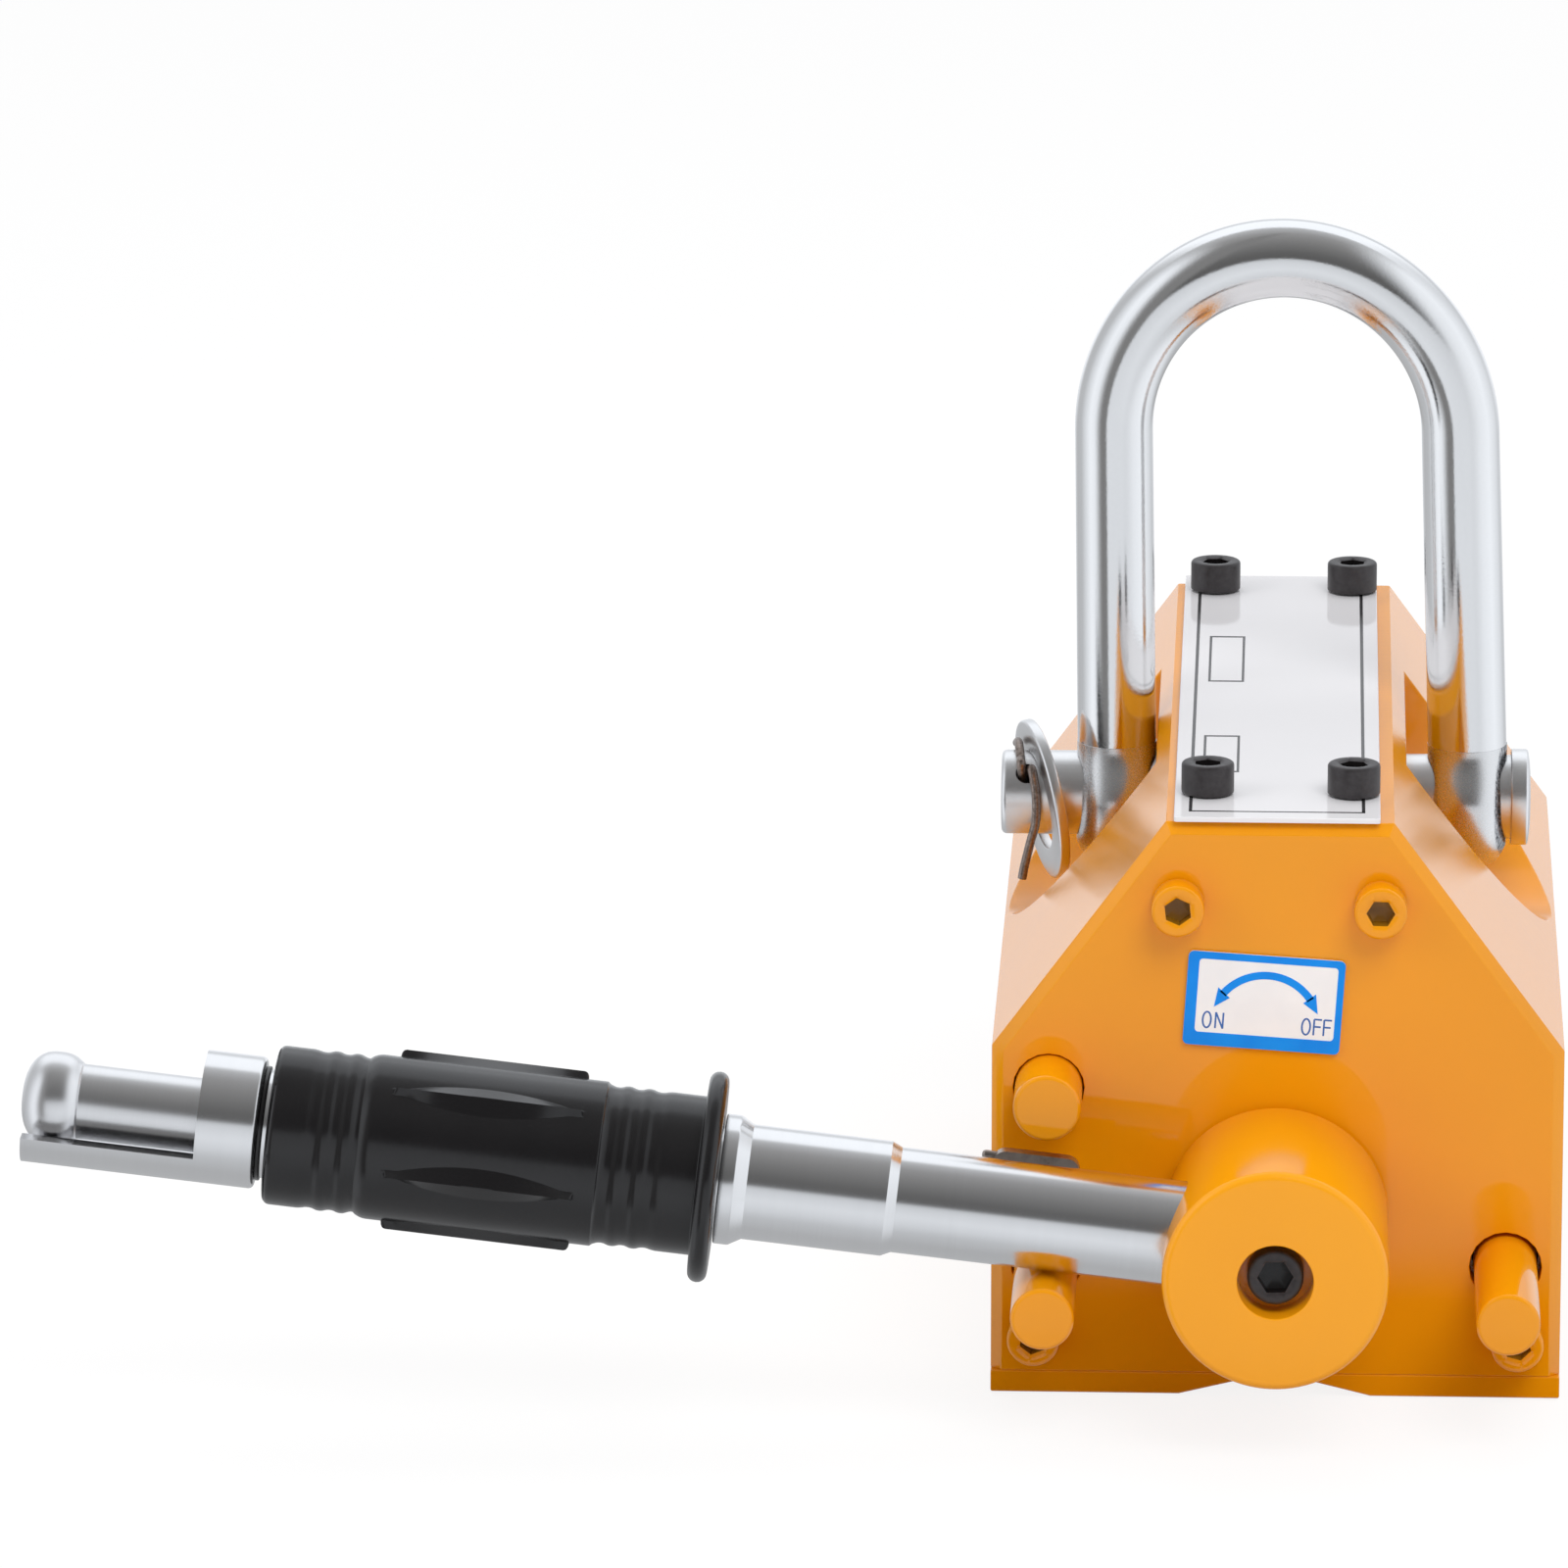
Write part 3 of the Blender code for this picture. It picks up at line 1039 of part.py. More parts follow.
def split_pin_leg(clear):
    """From the hanging leg's tip up the pin's front to the hole."""
    half = WIRE_PITCH / 2
    return [(lag * SPLIT_LEG_LAG + aside * half, -out * clear, up * SPLIT_LEG_LENGTH)
            for lag, aside, out, up in SPLIT_LEG_BENDS]


def split_pin_eye(clear):
    """Out of the hole at the rear, round the eye and back to it, along the hole's own axis."""
    half = WIRE_PITCH / 2
    return [(aside * half + across * SPLIT_EYE_WIDTH, clear + along * SPLIT_EYE_LENGTH)
            for aside, across, along in SPLIT_EYE_BENDS]


def split_pin_wrap(clear):
    """The second leg, bent round over the pin from the hole."""
    angles = [SPLIT_HOLE_ANGLE + SPLIT_WRAP_ANGLE * step for step in range(1, SPLIT_WRAP_STEPS + 1)]
    return [(-WIRE_PITCH / 2 - SPLIT_WRAP_LEAD * step, -clear * math.cos(angle), clear * math.sin(angle))
            for step, angle in enumerate(angles, 1)]


def split_pin():
    """One bent wire: hanging leg, through the hole, eye at the back, back through, over the pin."""
    half = WIRE_PITCH / 2
    clear = SHACKLE_PIN_RADIUS + WIRE_RADIUS + 2 * SEAT_GAP
    tilt = Matrix.Rotation(-SPLIT_HOLE_ANGLE, 4, "X")
    hole = [(half, -clear)] + split_pin_eye(clear) + [(-half, -clear)]
    core = [tuple(tilt @ Vector((x, y, 0))) for x, y in hole]
    points = smooth_path(split_pin_leg(clear) + core + split_pin_wrap(clear))
    wire = bpy.data.curves.new("split_pin", "CURVE")
    wire.dimensions = "3D"
    wire.bevel_depth = WIRE_RADIUS
    wire.bevel_resolution = 1
    wire.use_fill_caps = True
    line = wire.splines.new("POLY")
    line.points.add(len(points) - 1)
    for point, co in zip(line.points, points):
        point.co = (*co, 1)
    wire.materials.append(own_material("split_pin", WIRE_BROWN))
    piece = bpy.data.objects.new("split_pin", wire)
    piece.location = (SPLIT_HOLE_X, 0, PIN_HEIGHT)
    bpy.context.scene.collection.objects.link(piece)


def smooth_path(points, steps=3):
    """Catmull-Rom curve through the points."""
    knots = [Vector(p) for p in points]
    knots = [2 * knots[0] - knots[1]] + knots + [2 * knots[-1] - knots[-2]]
    curve = []
    for a, b, c, d in zip(knots, knots[1:], knots[2:], knots[3:]):
        for i in range(steps):
            t = i / steps
            curve.append(0.5 * (2 * b + (c - a) * t + (2 * a - 5 * b + 4 * c - d) * t ** 2
                                + (3 * b - a - 3 * c + d) * t ** 3))
    return curve + [knots[-2]]


# ---------------------------------------------------------------- assembly

def build():
    clear_scene()
    magnet_body()
    covers()
    cover_screws()
    fixed_magnets()
    pole_strip()
    bushes()
    cover_pins()
    nameplate()
    on_off_label()

    axis = empty("rotor_axis", (0, 0, AXIS_HEIGHT))
    lift = (HANDLE_OFFSET * math.sin(HANDLE_ANGLE), HANDLE_Y, HANDLE_OFFSET * math.cos(HANDLE_ANGLE))
    handle = empty("handle_axis", lift, (0, HANDLE_ANGLE - math.pi / 2, 0), axis)
    rotor(axis)
    handle_hub(axis, handle)
    hub_screw(axis)
    drive_key(axis)
    handle_bar(handle)
    latch_plate(handle)
    latch_pin(handle)
    release_rod(handle)
    release_button(handle)
    end_guard(handle)
    return_spring(handle)
    rubber_grip(handle)

    pivot = empty("shackle_axis", (0, 0, PIN_HEIGHT))
    shackle(pivot)
    shackle_pin()
    washer()
    split_pin()


build()
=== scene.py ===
"""Hand-switched lifting magnet: its finished look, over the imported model."""
import math

import bmesh
import bpy
from bmesh.types import BMEdge, BMVert
from mathutils import Matrix, Vector


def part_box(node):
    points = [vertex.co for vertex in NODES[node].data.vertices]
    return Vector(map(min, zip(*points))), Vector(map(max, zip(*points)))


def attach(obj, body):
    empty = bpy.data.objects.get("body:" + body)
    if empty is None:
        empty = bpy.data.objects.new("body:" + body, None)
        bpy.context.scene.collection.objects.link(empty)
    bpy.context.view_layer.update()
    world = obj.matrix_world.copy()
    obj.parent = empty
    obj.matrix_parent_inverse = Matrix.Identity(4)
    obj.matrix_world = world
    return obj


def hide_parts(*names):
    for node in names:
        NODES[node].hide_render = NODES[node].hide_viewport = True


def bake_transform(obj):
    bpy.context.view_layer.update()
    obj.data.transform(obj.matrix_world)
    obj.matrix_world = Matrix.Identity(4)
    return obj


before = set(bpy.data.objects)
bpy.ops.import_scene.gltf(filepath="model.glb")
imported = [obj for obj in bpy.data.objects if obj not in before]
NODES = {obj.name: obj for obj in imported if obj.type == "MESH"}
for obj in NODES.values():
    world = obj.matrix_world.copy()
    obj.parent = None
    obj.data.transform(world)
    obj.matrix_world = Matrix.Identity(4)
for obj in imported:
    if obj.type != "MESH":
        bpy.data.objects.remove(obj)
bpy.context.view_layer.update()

MM = 0.001

# Lever's own frame, in millimetres: Z outward, X up, Y to the rear
LEVER_ANGLE = math.radians(6.46)
LEVER_OFFSET = 1.0


def about(axis, degrees):
    return Matrix.Rotation(math.radians(degrees), 4, axis)


ALONG_X = about("Y", 90)
ALONG_Y = about("X", -90)
ALONG_MINUS_Y = about("X", 90)


def span(node):
    """Lowest and highest corners of a CAD node, in millimetres."""
    low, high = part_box(node)
    return low / MM, high / MM


def centre(node):
    low, high = span(node)
    return (low + high) / 2


AXIS_Z = centre("handle_hub").z
LEVER_Y = centre("handle_bar").y
PIN_Z = centre("shackle_pin").z
LEVER_PLACE = (LEVER_OFFSET * math.sin(LEVER_ANGLE), LEVER_Y,
               AXIS_Z + LEVER_OFFSET * math.cos(LEVER_ANGLE))
LEVER = Matrix.Translation(LEVER_PLACE) @ Matrix.Rotation(LEVER_ANGLE - math.pi / 2, 4, "Y")
OUTWARD = (-math.cos(LEVER_ANGLE), 0, math.sin(LEVER_ANGLE))


# ---- shader maths

class Value:
    """A node's output that plain arithmetic can be written on."""

    def __init__(self, tree, socket):
        self.tree = tree
        self.socket = socket

    def maths(self, operation, *others):
        node = self.tree.nodes.new("ShaderNodeMath")
        node.operation = operation
        for place, item in enumerate((self, *others)):
            feed(self.tree, node.inputs[place], item)
        return Value(self.tree, node.outputs[0])

    def __add__(self, other):
        return self.maths("ADD", other)

    __radd__ = __add__

    def __mul__(self, other):
        return self.maths("MULTIPLY", other)

    __rmul__ = __mul__

    def __sub__(self, other):
        return self.maths("SUBTRACT", other)

    def __rsub__(self, other):
        return (self * -1).maths("ADD", other)

    def __truediv__(self, other):
        return self.maths("DIVIDE", other)


def feed(tree, socket, item):
    if isinstance(item, Value):
        tree.links.new(item.socket, socket)
    else:
        socket.default_value = item


def lay_stops(ramp, stops):
    while len(ramp.elements) < len(stops):
        ramp.elements.new(1.0)
    for element, (position, colour) in zip(ramp.elements, stops):
        element.position = position
        element.color = (*colour, 1.0)


class Finish:
    """A material, or the world's background, made of nodes."""

    def __init__(self, owner):
        self.owner = owner
        owner.use_nodes = True
        self.tree = owner.node_tree
        self.tree.nodes.clear()

    def node(self, kind, settings, sockets, output=0):
        """Adds a node; settings go on first, a ramp's under the name stops."""
        node = self.tree.nodes.new("ShaderNode" + kind)
        for name, setting in settings.items():
            if name == "stops":
                lay_stops(node.color_ramp, setting)
            else:
                setattr(node, name, setting)
        for name, item in sockets.items():
            feed(self.tree, node.inputs[name], item)
        return Value(self.tree, node.outputs[output])

    def place(self, scale=(1, 1, 1)):
        """Object coordinates in metres, scaled."""
        point = self.node("TexCoord", {}, {}, "Object")
        return self.node("Mapping", {"vector_type": "POINT"}, {"Vector": point, "Scale": scale})

    def axes(self, point, letters="XYZ"):
        return [self.node("SeparateXYZ", {}, {"Vector": point}, letter) for letter in letters]

    def along(self, point, direction):
        sockets = {0: point, 1: direction}
        return self.node("VectorMath", {"operation": "DOT_PRODUCT"}, sockets, "Value")

    def noise(self, point, scale, detail=2.0, rough=0.5):
        sockets = {"Vector": point, "Scale": scale, "Detail": detail, "Roughness": rough}
        return self.node("TexNoise", {}, sockets)

    def lines(self, station, scale, detail=3.0):
        """Noise that changes along one direction only."""
        point = self.node("CombineXYZ", {}, {"X": station})
        return self.noise(point, scale, detail, 0.6)

    def ray(self, kind):
        """1 for rays of one kind, 0 for the others."""
        return self.node("LightPath", {}, {}, f"Is {kind} Ray")

    def grey(self, tone, blue):
        """A tone of grey whose blue part is scaled."""
        return self.node("CombineColor", {}, {"Red": tone, "Green": tone, "Blue": tone * blue})

    def ramp(self, value, *stops):
        return self.node("ValToRGB", {"stops": stops}, {"Fac": value})

    def remap(self, value, low, high, to_low=0.0, to_high=1.0):
        """Smooth step from to_low to to_high while the value goes from low to high."""
        sockets = {"Value": value, "From Min": low, "From Max": high, "To Min": to_low, "To Max": to_high}
        return self.node("MapRange", {"clamp": True, "interpolation_type": "SMOOTHSTEP"}, sockets)

    def mix(self, factor, first, second):
        sockets = {0: factor, 6: coloured(first), 7: coloured(second)}
        return self.node("Mix", {"data_type": "RGBA"}, sockets, 2)

    def bump(self, height, distance):
        return self.node("Bump", {}, {"Height": height, "Distance": distance, "Strength": 1.0})

    def surface(self, **sockets):
        """Principled shader; socket names are written with underscores."""
        named = {name.replace("_", " "): coloured(item) for name, item in sockets.items()}
        return self.output(self.node("BsdfPrincipled", {}, named))

    def output(self, shader):
        kind = "World" if isinstance(self.owner, bpy.types.World) else "Material"
        out = self.tree.nodes.new("ShaderNodeOutput" + kind)
        self.tree.links.new(shader.socket, out.inputs["Surface"])
        return self.owner


def coloured(item):
    """A plain (r, g, b) gets its alpha; links and numbers stay as they are."""
    if isinstance(item, tuple) and len(item) == 3:
        return (*item, 1.0)
    return item


def finish(name):
    return Finish(bpy.data.materials.new(name))


def added(name, data):
    """A new object of the scene, for a mesh, a curve, a lamp or a lens."""
    made = bpy.data.objects.new(name, data)
    bpy.context.scene.collection.objects.link(made)
    return made


def mesh_from(name, bm):
    """A mesh that takes bm's shape over; bm goes."""
    mesh = bpy.data.meshes.new(name)
    bm.to_mesh(mesh)
    bm.free()
    return mesh


# ---- camera, light, floor

FOCAL_LENGTH = 265.07         # millimetres
SENSOR_WIDTH = 36.0
CAMERA_PLACE = (0.0022912, -1.8639161, 0.5746764)
PITCH, YAW, ROLL = 0.259175076, 0.045763123, -0.00114954964


def camera():
    lens = bpy.data.cameras.new("camera")
    lens.lens = FOCAL_LENGTH
    lens.sensor_width = SENSOR_WIDTH
    ahead = Vector((-math.sin(YAW) * math.cos(PITCH), math.cos(YAW) * math.cos(PITCH), -math.sin(PITCH)))
    level = Vector((math.cos(YAW), math.sin(YAW), 0))
    upright = level.cross(ahead)
    right = level * math.cos(ROLL) + upright * math.sin(ROLL)
    up = upright * math.cos(ROLL) - level * math.sin(ROLL)
    turn = Matrix((right, up, -ahead)).transposed().to_4x4()
    viewer = added("camera", lens)
    viewer.matrix_world = Matrix.Translation(CAMERA_PLACE) @ turn
    bpy.context.scene.camera = viewer
    bpy.context.scene.view_settings.view_transform = "Standard"


# Brightness of the room in polished steel, at degrees from the front horizon up over the top to the rear
UP_AND_OVER = ((-180, 1.04), (-173, 1.02), (-167, 0.80), (-160, 0.42), (-148, 0.52), (-90, 0.52), (-57, 0.63),
               (-38, 0.80), (-20, 0.90), (-4, 0.82), (7, 0.74), (12, 0.12), (28, 0.14), (52, 0.21),
               (70, 0.27), (89, 0.35), (104, 0.50), (111, 0.56), (116, 1.2), (152, 1.2), (160, 0.80),
               (169, 0.74), (175, 0.95), (180, 1.04))
# and at degrees from the front round to the right
ROUND_THE_ROOM = ((-180, 0.8), (-143, 0.56), (-114, 0.60), (-95, 0.85), (-75, 1.10), (-56, 1.0), (-20, 0.86),
                  (31, 0.80), (60, 1.0), (90, 1.1), (122, 0.9), (144, 0.70), (165, 0.65), (180, 0.8))
WALLS_FROM = (0.35, 0.75)     # sideways part of the direction
DARK_POST = ((-62, -36), (-24, -20))  # degrees at each soft edge
POST_FOOT = (-0.7, -0.5)
POST_LEVEL = 0.24
EVEN_GREY = (0.50, 0.50, 0.51)
WHITE = (1.0, 1.0, 1.0)
COOL_FROM, COOL_RANGE = 0.3, 0.4
LESS_RED, MORE_BLUE = 0.035, 0.045


def tinted(level):
    """Colour of a lit part of the studio; the bright ones are slightly cool."""
    cool = min(1.0, max(0.0, (level - COOL_FROM) / COOL_RANGE))
    return level * (1 - LESS_RED * cool), level, level * (1 + MORE_BLUE * cool)


def turned_through(levels):
    """Ramp stops from (degrees, brightness) pairs over a whole turn."""
    return [(angle / 360 + 0.5, tinted(level)) for angle, level in levels]


def studio_room(sky):
    """The room in polished steel: bands overhead, walls to the sides and a dark post."""
    x, y, z = sky.axes(sky.node("TexCoord", {}, {}, "Generated"))
    climb = z.maths("ARCTAN2", y * -1) / math.tau + 0.5
    bearing = x.maths("ARCTAN2", y * -1) / math.tau + 0.5
    bands = sky.ramp(climb, *turned_through(UP_AND_OVER))
    walls = sky.ramp(bearing, *turned_through(ROUND_THE_ROOM))
    room = sky.mix(sky.remap(x.maths("ABSOLUTE"), *WALLS_FROM), bands, walls)
    near, far = [(first / 360 + 0.5, last / 360 + 0.5) for first, last in DARK_POST]
    post = sky.remap(bearing, *near) * (1 - sky.remap(bearing, *far)) * sky.remap(z, *POST_FOOT)
    return sky.mix(post, room, tinted(POST_LEVEL))


def studio_world():
    """White to the camera, an even level on matt surfaces, a studio for what shines."""
    world = bpy.data.worlds.new("studio")
    bpy.context.scene.world = world
    sky = Finish(world)
    seen = sky.ray("Camera")
    through = sky.ray("Transmission")
    glossy = sky.ray("Glossy")
    matt = sky.mix(glossy, EVEN_GREY, studio_room(sky))
    shown = sky.mix(seen.maths("MAXIMUM", through), matt, WHITE)
    sky.output(sky.node("Background", {}, {"Color": shown, "Strength": 1.0}))


# Lamps: place, aim and size in metres, power in watts
LAMPS = (("key", (0.45, -1.05, 1.35), (0, 0, 0.06), 0.9, 12.0),
         ("fill", (-1.2, -0.6, 0.8), (-0.03, 0, 0.06), 0.8, 4.0),
         ("top", (0.0, 0.5, 1.5), (0, 0, 0.08), 1.0, 6.0))


def lamp(name, place, target, size, power):
    light = bpy.data.lights.new(name, "AREA")
    light.size = size
    light.energy = power
    holder = added(name, light)
    holder.location = place
    aim = Vector(target) - Vector(place)
    holder.rotation_euler = aim.to_track_quat("-Z", "Y").to_euler()
    holder.visible_glossy = False
    holder.visible_camera = False


def lamps():
    for name, place, target, size, power in LAMPS:
        lamp(name, place, target, size, power)


FLOOR_HALF = 3000
FLOOR_DROP = 0.2
FLOOR_GREY = (0.8, 0.8, 0.8)
FLOOR_SHADE = (0.68, 0.63, 0.58)
FLOOR_GLOW = 0.86
# Edges of the painted shadow on the floor, in metres from the block's front end and from its middle
SHADOW_PATCH_FRONT = (-0.092, -0.050)
SHADOW_PATCH_END = 0.002
SHADOW_PATCH_SIDES = (0.050, 0.072)
SHADOW_PATCH_FACING = (0.55, 0.68)   # only at a grazing look


def painted_shadow_patch(pale):
    """1 where the floor's painted shadow lies, just before the block, and 0 elsewhere."""
    front = span("magnet_body")[0].y * MM
    x, y = pale.axes(pale.place(), "XY")
    start = pale.remap(y, front + SHADOW_PATCH_FRONT[0], front + SHADOW_PATCH_FRONT[1])
    end = pale.remap(y, front, front + SHADOW_PATCH_END)
    side = pale.remap(x.maths("ABSOLUTE"), *SHADOW_PATCH_SIDES)
    return start * (1 - end) * (1 - side)


def floor_paint():
    """Pale to the camera; to what shines it is only a painted shadow, dark at a grazing look, just before the
    block, where bounced light is darker too.
    """
    pale = finish("floor")
    painted_shadow = painted_shadow_patch(pale)
    low = pale.remap(pale.node("LayerWeight", {}, {"Blend": 0.5}, "Facing"), *SHADOW_PATCH_FACING)
    seen = pale.ray("Camera")
    glossy = pale.ray("Glossy")
    # painted shade: the floor bounces less light just before the block
    matt = pale.node("BsdfDiffuse", {}, {"Color": pale.mix(painted_shadow, FLOOR_GREY, FLOOR_SHADE)})
    clear = pale.node("BsdfTransparent", {}, {})
    # painted shadow: a dark glow that shining things see on the floor just before the block
    dark = pale.node("Emission", {}, {"Color": (0.015, 0.008, 0.002, 1), "Strength": 1.0})
    mirrored = pale.node("MixShader", {}, {0: painted_shadow * low, 1: clear, 2: dark})
    hidden = pale.node("MixShader", {}, {0: glossy, 1: matt, 2: mirrored})
    thin = pale.node("BsdfDiffuse", {}, {"Color": (0.16, 0.16, 0.16, 1.0)})
    glow = pale.node("Emission", {}, {"Color": (*WHITE, 1.0), "Strength": FLOOR_GLOW})
    shown = pale.node("AddShader", {}, {0: thin, 1: glow})
    return pale.output(pale.node("MixShader", {}, {0: seen, 1: hidden, 2: shown}))


def floor():
    bm = bmesh.new()
    bmesh.ops.create_grid(bm, x_segments=1, y_segments=1, size=FLOOR_HALF)
    bmesh.ops.translate(bm, verts=bm.verts[:], vec=(0, 0, -FLOOR_DROP))
    bm.transform(Matrix.Scale(MM, 4))
    ground = added("floor", mesh_from("floor", bm))
    ground.data.materials.append(floor_paint())


# ---- materials

ENAMEL = ((0.87, 0.325, 0.0015), (0.91, 0.345, 0.0022))
# Brighter copy of the enamel for the hub: partly its own paint, partly painted light, as the hub stands lit
# clear of the block's shade
HUB_ENAMEL_AND_PAINTED_LIGHT = ((0.95, 0.375, 0.003), (0.99, 0.40, 0.004))


def yellow_paint(name, colours=ENAMEL, streaks=0.0, rough=0.035):
    """Gloss enamel over milled steel, whose cutter marks show faintly through it."""
    paint = finish(name)
    point = paint.place()
    peel = paint.noise(point, 380, 2.0)
    fine = paint.noise(point, 2600, 2.0)
    marks = paint.lines(paint.axes(point, "Y")[0], 620, 4.0)
    height = peel * 0.5 + fine * 0.05 + marks * streaks
    cloud = paint.noise(point, 22, 3.0)
    deep, light = colours
    return paint.surface(Base_Color=paint.ramp(cloud, (0.3, deep), (0.7, light)), IOR=1.5,
                         Roughness=paint.remap(cloud, 0.2, 0.8, rough, rough + 0.03),
                         Normal=paint.bump(height, 0.000006))


def turned_steel(name, direction, level=0.79, rough=0.145):
    """Bright turned steel with fine tool lines round it."""
    steel = finish(name)
    point = steel.place()
    station = steel.along(point, direction)
    lines = steel.lines(station, 2600, 4.0)
    coarse = steel.lines(station, 420, 2.0)
    cloud = steel.noise(point, 60, 3.0)
    tone = lines * 0.06 + coarse * 0.04 + cloud * 0.04 + (level - 0.07)
    return steel.surface(Base_Color=steel.grey(tone, 1.01), Metallic=1.0, Roughness=lines * 0.07 + rough,
                         Normal=steel.bump(lines + coarse, 0.000002))


def zinc_plate(name, grain=1.0, level=0.80, low=0.06, high=0.12):
    """Bright zinc over drawn bar: mirror-like, with a fine grain and long faint draw lines."""
    zinc = finish(name)
    point = zinc.place()
    drawn = zinc.noise(zinc.place((1, 1, 0.03)), 900, 3.0)
    speck = zinc.noise(point, 2700, 3.0, 0.75)
    cloud = zinc.noise(point, 45, 3.0)
    tone = cloud * 0.05 + speck * 0.06 + (level - 0.055)
    height = drawn * 0.3 + speck * grain
    return zinc.surface(Base_Color=zinc.grey(tone, 1.005), Metallic=1.0,
                        Roughness=zinc.remap(speck, 0.3, 0.7, low, high), Normal=zinc.bump(height, 0.000011))


def forged_zinc():
    """Zinc over a forging: duller than on the bar, with a painted reflection beside the pin's head, dark and
    grainy as of the head's shaded underside.
    """
    zinc = finish("zinc_over_forging")
    point = zinc.place()
    speck = zinc.noise(point, 2700, 3.0, 0.75)
    pits = zinc.noise(zinc.place((1, 1, 0.35)), 2600, 4.0, 0.7)
    x, z = zinc.axes(point, "XZ")
    # Mask of the painted dark reflection of the pin's head on the right eye's outer side
    rise = (z - PIN_Z * MM) / (REFLECTION_HALF_HEIGHT * MM)
    depth = (1 - rise * rise).maths("MAXIMUM", 0.0).maths("SQRT") * (REFLECTION_DEPTH * MM)
    edge = (eye_middle(1) + EYE_HALF) * MM
    pin_head_reflection = zinc.remap(x + depth - edge, -0.0002, 0.0002)
    clean = zinc.grey(speck * 0.08 + 0.71, 1.005)
    grainy_reflection = zinc.ramp(pits, (0.38, (0.07, 0.07, 0.075)), (0.60, (0.55, 0.56, 0.58)))
    return zinc.surface(Base_Color=zinc.mix(pin_head_reflection, clean, grainy_reflection), Metallic=1.0,
                        Roughness=zinc.remap(speck, 0.3, 0.7, 0.24, 0.34),
                        Normal=zinc.bump(speck + pits * pin_head_reflection * 2.0, 0.000011))


def black_oxide():
    oxide = finish("black_oxide")
    mottle = oxide.noise(oxide.place(), 900, 4.0, 0.65)
    colour = oxide.ramp(mottle, (0.3, (0.030, 0.026, 0.027)), (0.7, (0.050, 0.045, 0.047)))
    return oxide.surface(Base_Color=colour, Metallic=0.25,
                         Roughness=oxide.remap(mottle, 0.2, 0.8, 0.34, 0.46),
                         Normal=oxide.bump(mottle, 0.00002))


def black_rubber():
    """Smooth moulded rubber with a low gloss."""
    rubber = finish("black_rubber")
    point = rubber.place()
    skin = rubber.noise(point, 1500, 3.0, 0.6)
    cloud = rubber.noise(point, 70, 2.0)
    colour = rubber.ramp(cloud, (0.3, (0.0070, 0.0064, 0.0070)), (0.7, (0.0095, 0.0088, 0.0095)))
    return rubber.surface(Base_Color=colour, Roughness=rubber.remap(skin, 0.2, 0.8, 0.17, 0.25), IOR=1.5,
                          Normal=rubber.bump(skin, 0.000004))


def plain_metal(name, dark, light, low_rough, high_rough):
    """Ground or machined metal for the pieces inside."""
    metal = finish(name)
    grain = metal.noise(metal.place((1, 0.2, 1)), 700, 4.0, 0.6)
    return metal.surface(Base_Color=metal.ramp(grain, (0.3, dark), (0.7, light)), Metallic=1.0,
                         Roughness=metal.remap(grain, 0.2, 0.8, low_rough, high_rough),
                         Normal=metal.bump(grain, 0.00001))


def silver_plate():
    """Glossy white-faced sheet with the faintest waviness."""
    plate = finish("silver_plate")
    cloud = plate.noise(plate.place(), 30)
    wave = plate.noise(plate.place((1, 0.3, 1)), 120, 2.0)
    colour = plate.mix(cloud, (0.82, 0.81, 0.825), (0.86, 0.85, 0.865))
    return plate.surface(Base_Color=colour, Roughness=plate.remap(wave, 0.2, 0.8, 0.05, 0.09), IOR=1.40,
                         Normal=plate.bump(wave, 0.000004))


def printed(name, dark, light, index=1.42):
    """Gloss-printed film."""
    film = finish(name)
    fleck = film.noise(film.place(), 160, 2.0)
    return film.surface(Base_Color=film.ramp(fleck, (0.35, dark), (0.65, light)), IOR=index,
                        Roughness=film.remap(fleck, 0.2, 0.8, 0.18, 0.26), Normal=film.bump(fleck, 0.000003))


def brown_wire():
    wire = finish("brown_wire")
    drawn = wire.noise(wire.place(), 1600, 4.0, 0.7)
    colour = wire.ramp(drawn, (0.3, (0.13, 0.095, 0.08)), (0.55, (0.30, 0.245, 0.215)),
                       (0.75, (0.42, 0.37, 0.34)))
    return wire.surface(Base_Color=colour, Metallic=0.9, Roughness=wire.remap(drawn, 0.2, 0.8, 0.28, 0.42),
                        Normal=wire.bump(drawn, 0.00001))


# ---- mesh tools, in millimetres

MERGE = 1e-4                  # points nearer than this become one


def merged(bm, distance=MERGE):
    bmesh.ops.remove_doubles(bm, verts=bm.verts[:], dist=distance)
    return bm


def rounded(bm, edges, offset, segments):
    bmesh.ops.bevel(bm, geom=edges, offset=offset, offset_type="OFFSET", segments=segments, profile=0.5,
                    affect="EDGES", material=-1)


def picked(result, kind, name="geom"):
    """The points or the edges that an operation made."""
    return [item for item in result[name] if isinstance(item, kind)]


def lathe(rows, sides=96, closed=False, segments=5):
    """Turned shape about Z from (station, radius, rounding) rows; closed makes a ring."""
    bm = bmesh.new()
    verts = [bm.verts.new((radius, 0, station)) for station, radius, _ in rows]
    for pair in zip(verts, verts[1:]):
        bm.edges.new(pair)
    if closed:
        bm.edges.new((verts[-1], verts[0]))
    for vert, (_, _, rounding) in zip(verts, rows):
        if rounding:
            bmesh.ops.bevel(bm, geom=[vert], offset=rounding, offset_type="OFFSET", segments=segments,
                            profile=0.5, affect="VERTICES", material=-1)
    bmesh.ops.spin(bm, geom=bm.verts[:] + bm.edges[:], cent=(0, 0, 0), axis=(0, 0, 1), angle=math.tau,
                   steps=sides, use_merge=True)
    return merged(bm)


def rod(radius, start, end, sides):
    return lathe([(start, 0, 0), (start, radius, 0), (end, radius, 0), (end, 0, 0)], sides)


def block(low, high):
    bm = bmesh.new()
    low, high = Vector(low), Vector(high)
    size = Matrix.Diagonal((*(high - low), 1.0))
    bmesh.ops.create_cube(bm, size=1.0, matrix=Matrix.Translation((low + high) / 2) @ size)
    return bm


